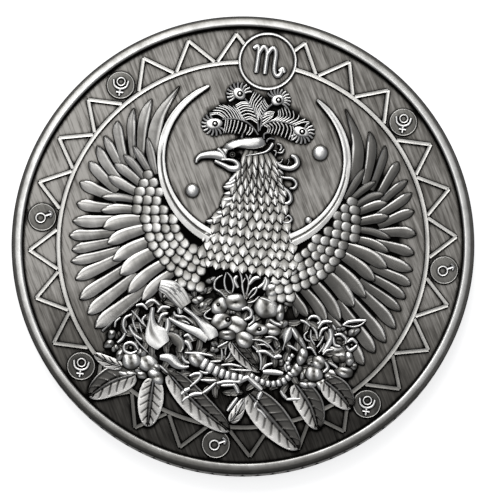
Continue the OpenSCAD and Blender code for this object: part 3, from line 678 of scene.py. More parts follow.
def feather_half(wide, taper):
    """Half width of a feather, which is full for most of its length and rounds off over its taper."""
    taper = max(taper, 0.42)

    def half(t):
        body = 0.72 + 0.28 * math.sin(math.pi / 2 * min(1, t / (1 - taper * 0.6)))
        if t > 1 - taper:
            body *= max(0, 1 - ((t - 1 + taper) / taper) ** 2.1) ** 0.8
        return max(0.03, wide / 2 * body)
    return half


def other_wing(path, tip):
    """The mirrored path of a feather, led to the tip that it has on the right wing."""
    flipped = [Vector((-x, y)) for x, y in path]
    off = Vector(tip) - flipped[-1]
    count = len(flipped) - 1
    return [p + off * (i / count) ** 1.5 for i, p in enumerate(flipped)]


def feather(bm, path, wide, taper, lift, upper, body_rub):
    """One feather. upper is the side, in the strip's sense, whose edge carries a painted highlight, with a thin
    one along the other edge. Painted shade darkens it towards its root.
    """
    strip(bm, path, feather_half(wide + 0.14, taper), lambda t: lift * (0.7 + 0.3 * t), rows=(26, 10),
          foot=sunk_z, skirt=0.075, crown=0.25, ease=1.5,
          shape=lambda t, v: 0.045 * bell(v * upper, 0.82, 0.16) - 0.02 * bell(v * upper, 0.45, 0.3),
          rub=lambda t, v: min(1, body_rub * (0.78 + 0.34 * t) + (1.02 - body_rub) * bell(v * upper, 0.8, 0.25)
                               + 0.12 * bell(v * upper, -0.9, 0.12)))


# The right wing is darker, which is painted shade on the side away from the lamp
FEATHER_RUB_AND_SHADE = {"left": 0.7, "right": 0.46}
for side, upper in (("left", -1), ("right", 1)):
    for kind, table_of, lift in (("primaries", PRIMARIES, 0.24), ("coverts", COVERTS, 0.38)):
        wing = start_mesh()
        for i, (path, wide, taper, tip) in enumerate(table_of):
            if side == "right":
                path = other_wing(path, tip)
            body_rub = FEATHER_RUB_AND_SHADE[side]
            feather(wing, path, wide - 0.04 * (side == "right"), taper, lift + 0.004 * (i % 3), upper, body_rub)
        if kind == "primaries":
            # The lowest feather shows only its bright edge
            edge_path = [(-6.9, -4.6), (-8.2, -6.0), (-9.6, -7.5), (-11.0, -9.15)]
            if side == "right":
                edge_path = [(-x, y) for x, y in edge_path]
            strip(wing, edge_path, 0.16, 0.2, rows=(24, 4), foot=sunk_z, skirt=0.06)
        finish_piece(f"{side}_{kind}_blades", wing, relief_silver, [f"{side}_{kind}"])

SHOULDER = [(-8.3, 5.5), (-9.0, 5.0), (-9.6, 4.2), (-9.85, 3.2), (-9.75, 2.2), (-9.3, 1.0), (-8.8, 0),
            (-8.1, -1.0), (-7.3, -2.0), (-6.5, -3.0), (-5.4, -3.8), (-4.2, -4.4), (-3.0, -4.4), (-2.6, -1.5),
            (-2.6, 0.6), (-4.0, 1.2), (-5.6, 2.0), (-6.8, 3.4), (-7.7, 4.9)]
BED_H = 0.26

random.seed(7)
for side, mirror in (("left", 1), ("right", -1)):
    bed = start_mesh()
    pad(bed, [(mirror * x, y) for x, y in SHOULDER], BED_H, foot=sunk_z, skirt=0.2, crown=0.15, rub=0.05)
    finish_piece(f"{side}_shoulder_bed", bed, relief_silver, [f"{side}_shoulder"])
    scales = start_mesh()
    ROW_STEP, SCALE_STEP = 0.76, 0.8
    for row in range(7):
        radius = 6.5 - row * ROW_STEP
        count = int(math.radians(125) * radius / SCALE_STEP)
        for i in range(count):
            a = math.radians(24) - (i + (row % 2) / 2) * SCALE_STEP / radius
            x, y = -3.0 - radius * math.cos(a), 2.2 + radius * math.sin(a)
            out = math.hypot(x / 8.72, (y - 7.4) / 8.72)
            if not inside(x, y, SHOULDER) or out < 1 or x > -2.9:
                continue
            x += random.uniform(-0.05, 0.05)
            y += random.uniform(-0.05, 0.05)
            turn = math.degrees(a) + random.uniform(-9, 9)
            long, wide = random.uniform(1.02, 1.12), random.uniform(0.9, 0.98)
            outline = []
            for px, py in oval(0, 0, 1, 1, count=12):
                k = 0.5 / max(abs(px), abs(py)) * 0.4 + 0.6
                c, s = math.cos(math.radians(turn)), math.sin(math.radians(turn))
                outline.append((mirror * (x + k * (px * long * c - py * wide * s)),
                                y + k * (px * long * s + py * wide * c)))
            known = set(scales.verts)
            pad(scales, outline, 0.22 + random.uniform(-0.05, 0.02), foot=field_z + BED_H - 0.06, crown=0.16,
                skirt=0.09, ledge=0.7, rub=random.uniform(0.78, 0.9))
            # Each rises to its outer end, and has painted shade at its root, where the next one covers it
            for vert in set(scales.verts) - known:
                along = ((vert.co.x * mirror - x) * math.cos(math.radians(turn))
                         + (vert.co.y - y) * math.sin(math.radians(turn)))
                vert[scales.verts.layers.float["rub"]] *= between(0.45, 1.12, along / long + 0.5)
                if vert.co.z > field_z + BED_H:
                    vert.co.z += 0.14 * along / long - 0.02
    finish_piece(f"{side}_shoulder_scales", scales, bright_silver, [f"{side}_scales"])

# ---- Crest ----
# Four plumes rise from the crown. Each is a curved stem with fine barbs on both sides, and ends in
# a bright round eye with a small dark ring in it.

plumes = start_mesh()


def spaced(points, count):
    """So many evenly spaced places on a smooth curve."""
    return [on_curve(points, i / (count - 1)) for i in range(count)]


def barb_row(roots, bends, tips, count):
    """Fine curved barbs, whose roots, bends and tips lie on three curves."""
    for a, b, c in zip(spaced(roots, count), spaced(bends, count), spaced(tips, count)):
        strip(plumes, [a, b, c], lambda t: 0.064 - 0.015 * t, 0.28, rows=(8, 4), foot=sunk_z,
              skirt=0.015, crown=0.1, rub=0.9)


STEMS = [
    [(0.05, 9.6), (-0.5, 10.2), (-1.15, 10.6), (-2.1, 10.75), (-3.2, 10.55)],
    [(0.05, 9.9), (-0.2, 10.9), (-0.6, 11.7), (-1.0, 12.15), (-1.5, 12.6)],
    [(0.15, 10.0), (0.2, 11.2), (0.42, 11.85), (0.9, 12.45)],
    [(0.15, 10.3), (0.7, 10.8), (1.4, 11.0), (2.3, 11.0), (3.2, 10.8)],
]
for stem in STEMS:
    strip(plumes, stem, 0.1, 0.32, rows=(24, 4), foot=sunk_z, skirt=0.05)
barb_row([(-3.1, 10.7), (-2.2, 10.8), (-1.3, 10.7)], [(-3.7, 10.95), (-2.8, 11.5), (-1.75, 11.3)],
         [(-4.3, 10.75), (-3.7, 11.7), (-2.15, 11.85)], 9)
barb_row([(-2.9, 10.55), (-1.8, 10.6), (-0.5, 10.1)], [(-2.9, 10.0), (-1.85, 10.0), (-0.5, 9.8)],
         [(-2.95, 9.35), (-2.0, 9.45), (-0.75, 9.45)], 9)
barb_row([(-1.2, 12.3), (-0.6, 11.65), (-0.15, 10.6)], [(-1.75, 12.25), (-1.35, 11.7), (-0.75, 10.9)],
         [(-2.25, 11.9), (-1.95, 11.3), (-1.2, 10.75)], 8)
barb_row([(-1.05, 12.25), (-0.5, 11.6), (-0.1, 10.9)], [(-0.95, 12.75), (-0.5, 12.2), (-0.15, 11.5)],
         [(-0.75, 13.3), (-0.05, 12.95), (0.0, 11.9)], 7)
barb_row([(0.65, 12.2), (0.35, 11.7), (0.22, 10.9)], [(0.4, 12.4), (0.1, 11.95), (0.0, 11.2)],
         [(0.1, 12.85), (-0.15, 12.3), (-0.1, 11.5)], 7)
barb_row([(0.35, 11.5), (0.25, 11.1), (0.3, 10.55)], [(0.75, 11.75), (0.7, 11.4), (0.75, 11.0)],
         [(1.2, 11.75), (1.15, 11.5), (1.1, 11.35)], 5)
barb_row([(1.0, 10.95), (2.0, 11.05), (3.1, 10.85)], [(1.55, 11.4), (2.6, 11.55), (3.75, 11.2)],
         [(1.5, 12.0), (2.3, 12.3), (4.3, 11.3)], 9)
barb_row([(0.45, 10.5), (1.5, 10.95), (2.95, 10.75)], [(0.85, 10.3), (1.85, 10.55), (3.1, 10.3)],
         [(0.75, 9.8), (1.7, 9.8), (2.95, 9.45)], 9)
EYES = [(-3.85, 10.05, 1.55, 1.05, 15), (-2.05, 12.95, 1.25, 1.05, -35), (1.35, 12.85, 1.25, 1.0, 30),
        (3.75, 10.35, 1.5, 0.95, -12)]
eyes = start_mesh()
for (x, y, long, wide, turn), (a0, a1) in zip(EYES, ((115, 330), (20, 225), (-35, 150), (-150, 60))):
    for k in range(11):
        a = math.radians(a0 + (a1 - a0) * k / 10)
        d = Vector((math.cos(a), math.sin(a)))
        near = Vector((x, y)) + Vector((d.x * 0.5, d.y * 0.42))
        bend = near + 0.3 * d + 0.06 * Vector((-d.y, d.x))
        strip(plumes, [near, bend, near + 0.62 * d], 0.1, 0.24, rows=(6, 4), foot=sunk_z,
              skirt=0.03, crown=0.2)
    pad(eyes, oval(x, y, long, wide, turn, point=0.15, count=24), 0.42, foot=sunk_z, crown=0.12)
    spun(eyes, [(0, field_z + 0.45, 1), (0.09, field_z + 0.45, 1), (0.13, field_z + 0.43, 0),
                (0.24, field_z + 0.43, 0), (0.3, field_z + 0.37, 0.4)], 18, (x + 0.06, y))
finish_piece("crest_plume_barbs", plumes, fine_silver, ["crest_plumes"])
finish_piece("crest_eyes", eyes, fine_silver, ["plume_eyes"])

# ---- Head ----
# The bird looks to the left, with a hooked beak, a dark eye under a smooth crown, and a bright brow.
# The mouth is a black slot that runs back into the cheek.

HEAD_H = 0.52
crown = start_mesh()
pad(crown, [(-2.95, 8.0), (-2.75, 8.4), (-2.3, 8.75), (-1.7, 9.0), (-1.0, 9.2), (-0.2, 9.36), (0.55, 9.5),
            (0.85, 9.2), (0.95, 8.8), (0.6, 8.5), (0.0, 8.28), (-0.6, 8.2), (-1.3, 8.2), (-1.9, 8.1),
            (-2.4, 7.85)], HEAD_H, skirt=0.12, crown=0.35)
strip(crown, [(-0.75, 7.62), (0.1, 7.86), (0.85, 8.15), (1.2, 8.5), (1.42, 9.0)], lambda t: 0.1 + 0.09 * t, 0.46,
      rows=(20, 6), skirt=0.06)
strip(crown, [(-1.32, 9.15), (-1.3, 9.4), (-1.25, 9.75)], lambda t: 0.14 - 0.09 * t, 0.4, rows=(8, 4), skirt=0.05)
strip(crown, [(0.6, 9.3), (0.55, 9.65), (0.75, 9.85), (1.0, 9.88)], 0.1, 0.4, rows=(14, 4), skirt=0.05)
strip(crown, [(0.85, 9.05), (0.95, 9.3), (1.2, 9.42), (1.5, 9.38)], 0.1, 0.4, rows=(14, 4), skirt=0.05)
finish_piece("crown_and_brow", crown, bright_silver, ["crown"])

beak = start_mesh()
strip(beak, [(-2.65, 7.3), (-3.4, 7.36), (-4.1, 7.25), (-4.65, 7.05), (-4.9, 6.75), (-4.95, 6.45)],
      lambda t: 0.44 - 0.32 * t, HEAD_H, rows=(26, 8), crown=0.25)
strip(beak, [(-3.25, 7.88), (-2.95, 7.72), (-2.65, 7.42), (-2.5, 7.12)], 0.18, HEAD_H + 0.03, rows=(12, 6))
pad(beak, [(-3.0, 7.97), (-2.6, 8.07), (-2.25, 8.0), (-2.35, 7.7), (-2.45, 7.3), (-2.6, 7.5)], HEAD_H - 0.04)
strip(beak, [(-2.8, 6.98), (-2.3, 7.06), (-1.65, 7.0), (-1.3, 6.7), (-1.4, 6.4), (-1.9, 6.32), (-2.5, 6.52),
             (-3.35, 6.8)], lambda t: 0.13 + 0.17 * bell(t, 0.6, 0.3), HEAD_H, rows=(40, 6))
finish_piece("beak_and_cheek", beak, fine_silver, ["beak"])

eye = start_mesh()
pad(eye, oval(-1.85, 7.56, 1.3, 0.62, 16, point=0.3), 0.34, skirt=0.06, crown=0.1, rub=0.03)
spun(eye, [(0.0, field_z + 0.4, 0.6), (0.06, field_z + 0.39, 0.5), (0.09, field_z + 0.3, 0),
           (0.15, field_z + 0.3, 0), (0.18, field_z + 0.38, 0.3), (0.23, field_z + 0.38, 0.3),
           (0.27, field_z + 0.28, 0)], 18, (-1.92, 7.56))
finish_piece("dark_eye", eye, bright_silver, ["eye"])

# ---- Neck and breast ----
# Narrow feathers stream back from the cheek, and broader pointed ones hang in rows down to the breast.
# They overlap like tiles, and the black bed shows between their tips.

neck = start_mesh()
NECK = [(-1.2, 7.6), (-1.15, 6.8), (-1.35, 6.0), (-1.55, 5.2), (-1.65, 4.2), (-1.9, 3.2), (-2.3, 2.2),
        (-2.8, 1.4), (-3.1, 0.6), (-3.15, -0.6), (-3.0, -1.8), (-2.6, -3.0), (-2.0, -4.3), (2.2, -4.3),
        (3.7, -3.4), (4.35, -2.2), (4.55, -1.0), (4.4, 0.2), (4.0, 1.2), (3.5, 2.2), (3.15, 3.2), (2.9, 4.3),
        (2.5, 5.4), (2.05, 6.6), (1.3, 8.0)]
pad(neck, NECK, 0.34, foot=sunk_z, skirt=0.12, crown=0.1, rub=0.04)
finish_piece("neck_bed", neck, relief_silver, ["neck"])


def tip_half(wide):
    """Half width of a pointed feather."""
    return lambda t: max(0.02, wide / 2 * ((0.8 + 0.4 * t) if t < 0.5 else math.cos((t - 0.5) * math.pi) ** 0.9))


tips = start_mesh()
# Each row is its height, its left and right ends, and the length and width of its feathers
ROWS = [(8.1, -0.7, 1.2, 1.5, 0.34), (7.65, -0.95, 1.35, 1.9, 0.36), (7.1, -1.05, 1.6, 1.9, 0.38),
        (6.45, -1.15, 1.95, 1.8, 0.42), (5.7, -1.3, 2.2, 1.65, 0.46), (4.95, -1.4, 2.45, 1.5, 0.5),
        (4.2, -1.6, 2.7, 1.45, 0.54), (3.4, -1.8, 2.9, 1.4, 0.58), (2.6, -2.1, 3.15, 1.4, 0.62),
        (1.8, -2.5, 3.5, 1.4, 0.66), (1.0, -2.85, 3.9, 1.4, 0.68), (0.2, -2.95, 4.15, 1.4, 0.7),
        (-0.6, -2.95, 4.2, 1.35, 0.7), (-1.4, -2.7, 4.1, 1.25, 0.68)]
for row, (y, x0, x1, long, wide) in enumerate(ROWS):
    count = max(4, round((x1 - x0) / (wide * 1.02)))
    for i in range(count + 1 - row % 2):
        x = x0 + (x1 - x0) * (i + (row % 2) / 2) / count + random.uniform(-0.04, 0.04)
        high = between(0, 1, (y - 3.6) / 1.6)
        share = (x - x0) / (x1 - x0)
        turn = (1 - high) * between(-113, -68, share) + high * between(-96, -52, share)
        a = math.radians(turn + random.uniform(-4, 4))
        long_here = long * random.uniform(0.92, 1.06)
        top = Vector((x, y))
        end = top + long_here * Vector((math.cos(a), math.sin(a)))
        bow = 0.06 * Vector((-math.sin(a), math.cos(a))) * (1 if share > 0.5 else -1)
        # Painted shade: each feather is darker at its root, under the row above, and a little darker along its
        # sides.
        strip(tips, [top, (top + end) / 2 + bow, end], tip_half(wide * 1.5), lambda t: 0.02 + 0.26 * t,
              rows=(9, 6), foot=field_z + 0.28, skirt=0.075, crown=0.22, ease=1.3, ledge=0.8,
              rub=lambda t, v, k=random.uniform(0.78, 0.92): k * (0.42 + 0.7 * t) * (1 - 0.25 * v * v))
# Loose tips stand out along the throat
for x, y, turn in ((-1.35, 5.9, -128), (-1.4, 5.35, -150), (-1.45, 4.9, -165), (-1.3, 4.4, -160),
                   (-1.35, 3.8, -165), (-1.5, 3.25, -165), (-1.75, 2.6, -165), (-2.1, 2.1, -165),
                   (-2.5, 1.75, -165), (-2.6, 0.9, -145), (-2.5, 0.4, -155)):
    a = math.radians(turn)
    end = Vector((x, y)) + 0.95 * Vector((math.cos(a), math.sin(a)))
    strip(tips, [(x, y), ((x + end.x) / 2, (y + end.y) / 2 - 0.12), end], tip_half(0.5), 0.46, rows=(12, 6),
          crown=0.3, rub=0.85)
finish_piece("neck_feather_tips", tips, bright_silver, ["neck_feathers"])

curls = start_mesh()
for points, wide in (([(1.9, 7.4), (2.5, 7.05), (3.3, 7.05), (3.75, 7.5), (3.55, 8.0), (3.15, 8.15)], 0.38),
                     ([(1.7, 6.9), (2.2, 6.75), (2.65, 6.45)], 0.22),
                     ([(1.9, 6.3), (2.7, 6.15), (3.5, 6.15), (3.9, 5.75), (3.75, 5.35), (3.4, 5.3)], 0.24),
                     ([(2.0, 6.0), (2.6, 5.4), (3.3, 4.95), (3.6, 4.4), (3.45, 4.0), (3.1, 3.9)], 0.3),
                     ([(1.9, 5.2), (2.5, 4.7), (3.0, 4.3)], 0.26),
                     ([(2.4, 3.9), (2.9, 3.2), (3.3, 3.1), (3.4, 3.5)], 0.24),
                     ([(2.6, 2.9), (3.1, 2.35), (3.6, 2.25), (3.9, 2.6), (3.6, 2.9), (3.35, 2.65)], 0.2),
                     ([(3.3, 2.0), (3.75, 1.6), (4.05, 1.1), (4.4, 1.35)], 0.24),
                     ([(3.8, 1.2), (4.1, 0.6), (4.45, 0.6)], 0.24),
                     ([(1.75, 7.9), (1.8, 8.3), (1.6, 8.4)], 0.16),
                     ([(1.95, 8.25), (2.3, 8.3), (2.45, 8.65)], 0.18),
                     ([(1.8, 9.0), (2.1, 8.95), (2.2, 8.65), (2.05, 8.45)], 0.18),
                     ([(2.1, 7.35), (2.35, 7.5), (2.45, 7.8)], 0.14),
                     ([(2.9, 7.3), (3.0, 7.6), (2.9, 7.85)], 0.12)):
    strip(curls, points, lambda t, w=wide: w * 0.65 * (0.75 + 0.5 * t - 0.6 * t ** 4), 0.46, rows=(30, 6),
          foot=sunk_z, crown=0.3)
finish_piece("nape_curl_feathers", curls, fine_silver, ["nape_curls"])

# ---- Flowers ----
# Open blooms with rounded, thick petals stand highest in the bouquet. Buds, small leaves and curved
# petals fill the spaces between them.

FLOWER_H = 0.54
# A petal runs so far under its neighbours
PETAL_GROWTH = 1.3


def petals(bm, places, lift=FLOWER_H, rub=1.0):
    """Thick petals with wavy outlines and a shallow dip in the middle of each, with painted shade in the dip and
    on the low side of each fold.

    Each is its centre, length, width, turn and how far its far end narrows.
    """
    layer = bm.verts.layers.float["rub"]
    for i, (x, y, long, wide, turn, point) in enumerate(places):
        middle = Vector((x, y))
        waves = random.uniform(0, math.tau)
        outline = []
        for k, place in enumerate(oval(x, y, long * PETAL_GROWTH, wide * PETAL_GROWTH, turn, point, count=26)):
            a = math.tau * k / 26
            wave = 1 + 0.05 * math.sin(3 * a + waves) + 0.03 * math.sin(5 * a + 2 * waves)
            outline.append(tuple(middle + wave * (Vector(place) - middle)))
        known = set(bm.verts)
        pad(bm, outline, lift - 0.08 * (i % 4), foot=sunk_z, crown=0.2, rub=rub, skirt=0.12,
            ledge=0.85)
        for vert in set(bm.verts) - known:
            if vert.co.z > field_z + 0.1:
                off = vert.co.to_2d() - middle
                away = off.length / (min(long, wide) * PETAL_GROWTH / 2)
                fold = math.sin(2 * math.atan2(off.y, off.x) + waves)
                vert.co.z += min(0.0, 0.06 * fold * away - 0.05 * bell(away, 0, 0.45) * (min(long, wide) > 0.6))
                # Painted shade in the middle dip and on the low side of each fold
                vert[layer] *= 1 - 0.5 * bell(away, 0, 0.35) - 0.5 * max(0, -fold)


def arcs(bm, lines, lift=0.42):
    """Narrow curved petals, each a width and its points. They taper to both ends."""
    for wide, *points in lines:
        strip(bm, points, lambda t, w=wide * 1.2 + 0.03: w / 2 * math.sin(math.pi * (0.15 + 0.7 * t)) ** 0.6, lift,
              rows=(20, 6), foot=sunk_z, skirt=0.035, crown=0.25)


middle_bloom = start_mesh()
petals(middle_bloom, [(0.05, -5.2, 1.65, 1.2, 0, 0), (-1.25, -5.7, 1.3, 1.15, 60, 0.1),
                      (-0.95, -6.95, 1.5, 1.15, 25, 0), (0.4, -7.1, 1.55, 1.25, -20, 0),
                      (-0.3, -8.1, 1.35, 0.7, 5, 0), (1.25, -8.3, 1.35, 1.15, -20, 0),
                      (2.2, -7.25, 1.55, 0.95, 8, 0.1), (3.5, -7.05, 1.35, 0.9, -5, 0),
                      (3.95, -5.6, 1.25, 0.68, 95, 0), (4.35, -6.5, 0.75, 0.6, 30, 0)])
petals(middle_bloom, [(2.75, -5.3, 1.75, 1.5, -15, 0)], lift=0.5, rub=0.85)
arcs(middle_bloom, [(0.28, (0.7, -5.75), (1.1, -5.55), (1.5, -5.8), (1.5, -6.3), (1.05, -6.6)),
              (0.2, (1.75, -6.15), (1.8, -6.6), (1.4, -7.05)), (0.26, (3.2, -6.3), (3.7, -6.55), (4.2, -6.65)),
              (0.16, (-1.95, -6.0), (-2.45, -6.6), (-2.2, -6.9), (-1.8, -6.9)),
              (0.2, (2.1, -4.55), (2.9, -4.7), (3.55, -5.1))], lift=0.5)
petals(middle_bloom, [(3.05, -3.75, 1.1, 1.0, 70, 0.1), (3.65, -3.6, 1.0, 0.85, -50, 0.2),
                      (4.4, -4.5, 1.2, 0.7, -25, 0.4), (0.55, -1.9, 0.95, 0.55, -5, 0),
                      (-2.3, -3.55, 0.8, 0.5, 35, 0.3), (-2.85, -4.55, 0.65, 0.5, 40, 0),
                      (-3.2, -5.4, 0.85, 0.6, 20, 0.2), (-2.65, -5.8, 0.7, 0.55, 60, 0)], lift=0.46)
finish_piece("middle_bloom_petals", middle_bloom, bright_silver, ["middle_flowers"])

left_bloom = start_mesh()
petals(left_bloom, [(-8.15, -11.4, 1.35, 1.2, 0, 0), (-6.75, -11.4, 1.4, 1.15, -8, 0),
                    (-8.35, -12.55, 1.3, 0.5, 3, 0), (-7.15, -12.5, 1.15, 0.5, 0, 0),
                    (-5.85, -12.5, 1.35, 0.95, -40, 0.2), (-10.15, -9.35, 0.7, 0.55, 70, 0),
                    (-10.25, -10.2, 0.8, 0.55, 35, 0), (-9.7, -10.5, 0.6, 0.5, 80, 0),
                    (-9.2, -11.05, 0.95, 0.55, 70, 0), (-7.4, -10.6, 0.75, 0.6, 0, 0),
                    (-9.05, -10.75, 0.7, 0.6, 0, 0), (-7.45, -12.0, 0.8, 0.6, 0, 0),
                    (-6.0, -11.75, 0.8, 0.7, 0, 0)])
arcs(left_bloom, [(0.26, (-8.95, -10.1), (-8.5, -9.85), (-8.0, -10.0), (-7.7, -10.4)),
            (0.26, (-8.95, -10.1), (-8.85, -10.6), (-8.3, -10.8), (-7.8, -10.5))], lift=0.5)
petals(left_bloom, [(-9.6, -9.35, 0.6, 0.4, 80, 0)], lift=0.34, rub=0.5)
finish_piece("left_bloom_petals", left_bloom, bright_silver, ["left_flower"])

right_bloom = start_mesh()
petals(right_bloom, [(6.35, -9.1, 1.25, 0.75, 80, 0), (7.85, -9.4, 1.05, 0.95, -30, 0),
                     (5.95, -10.3, 1.1, 0.75, 60, 0), (6.7, -10.6, 0.9, 0.5, 85, 0),
                     (7.55, -10.45, 1.25, 1.05, -10, 0), (7.15, -11.45, 1.25, 0.5, 5, 0),
                     (8.4, -11.3, 1.15, 0.8, -50, 0.1), (9.05, -10.3, 1.3, 0.75, -5, 0),
                     (10.1, -9.95, 1.35, 0.75, -5, 0), (10.4, -8.75, 1.05, 0.65, -75, 0),
                     (10.85, -9.35, 0.55, 0.5, 0, 0), (9.35, -8.3, 1.75, 0.85, -8, 0),
                     (10.5, -6.4, 0.95, 0.6, 35, 0.2), (9.35, -6.3, 0.7, 0.36, 15, 0)])
petals(right_bloom, [(9.55, -8.85, 1.1, 0.6, 5, 0), (9.3, -7.3, 0.8, 0.7, 0, 0)], lift=0.38, rub=0.45)
arcs(right_bloom, [(0.24, (8.9, -6.9), (9.4, -6.75), (9.9, -7.1), (9.9, -7.5)),
                   (0.24, (8.8, -7.1), (9.0, -7.7), (9.5, -7.8)),
                   (0.26, (10.05, -7.35), (10.45, -7.05), (10.9, -7.35)),
                   (0.26, (10.0, -7.7), (10.4, -8.0), (10.9, -7.5)),
                   (0.26, (8.35, -9.3), (8.65, -9.75), (8.35, -10.2)),
                   (0.2, (6.65, -8.3), (7.1, -8.3), (7.55, -8.85)),
                   (0.2, (8.1, -8.7), (8.4, -8.3), (8.9, -8.15)),
                   (0.22, (8.7, -9.3), (9.2, -9.5), (9.5, -9.7))], lift=0.48)
finish_piece("right_bloom_petals", right_bloom, bright_silver, ["right_flower"])

hearts = start_mesh()
petals(hearts, [(-0.1, -6.1, 0.5, 0.28, 0, 0), (7.15, -9.65, 0.5, 0.3, -10, 0),
                (8.45, -9.35, 0.35, 0.28, 0, 0)], lift=0.56)
for x, y, r in ((-1.4, -5.6, 0.17), (2.4, -7.22, 0.2), (-0.4, -6.75, 0.24), (10.45, -7.55, 0.2),
                (-8.35, -10.3, 0.25)):
    spun(hearts, [(0, field_z + 0.53, 0.7), (r * 0.35, field_z + 0.52, 0.5), (r * 0.5, field_z + 0.5, 0),
                  (r * 0.8, field_z + 0.5, 0), (r, field_z + 0.4, 0)], 16, (x, y))
finish_piece("bloom_hearts", hearts, bright_silver, ["flower_hearts"])

buds = start_mesh()
strip(buds, [(-6.6, -4.6), (-5.7, -4.75), (-4.9, -5.3), (-4.15, -6.05)],
      lambda t: 0.3 + 0.52 * math.sin(math.pi * min(1, t * 0.72 + 0.1)), FLOWER_H, rows=(34, 18),
      foot=sunk_z, crown=0.15,
      shape=lambda t, v: -0.035 * (1 + math.cos(v * 15 + t * 3)) * math.sin(math.pi * t),
      rub=lambda t, v: 0.95 - 0.3 * t)
petals(buds, [(-6.4, -5.25, 0.95, 0.42, -75, 0.4)], lift=0.46)
petals(buds, [(5.85, -7.55, 2.0, 0.55, -50, 0.3)], lift=0.48)
finish_piece("lily_buds", buds, bright_silver, ["flower_buds"])

# Small low leaves fill the ground between the blooms. Each has a bright raised edge and midrib.
foliage = start_mesh()
random.seed(11)
for row in range(11):
    for column in range(24):
        x = -11 + 0.95 * column + random.uniform(-0.25, 0.25)
        y = -3.4 - 0.95 * row + random.uniform(-0.25, 0.25)
        a = math.radians(random.uniform(0, 360))
        way = 0.62 * random.uniform(0.85, 1.15) * Vector((math.cos(a), math.sin(a)))
        ends = [Vector((x, y)) - way, Vector((x, y)) + 0.18 * Vector((-way.y, way.x)), Vector((x, y)) + way]
        if all(inside(*end, BOUQUET) for end in ends):
            strip(foliage, ends, lambda t: max(0.04, 0.29 * math.sin(math.pi * (0.08 + 0.88 * t)) ** 0.8),
                  random.uniform(0.14, 0.22), rows=(8, 6), foot=sunk_z, skirt=0.035, crown=0,
                  shape=lambda t, v: -0.06 + 0.07 * bell(abs(v), 0.95, 0.3) + 0.05 * bell(v, 0, 0.16),
                  rub=lambda t, v: 0.22 + 0.42 * bell(abs(v), 1, 0.3) + 0.3 * bell(v, 0, 0.15))
finish_piece("low_foliage", foliage, fine_silver, [])

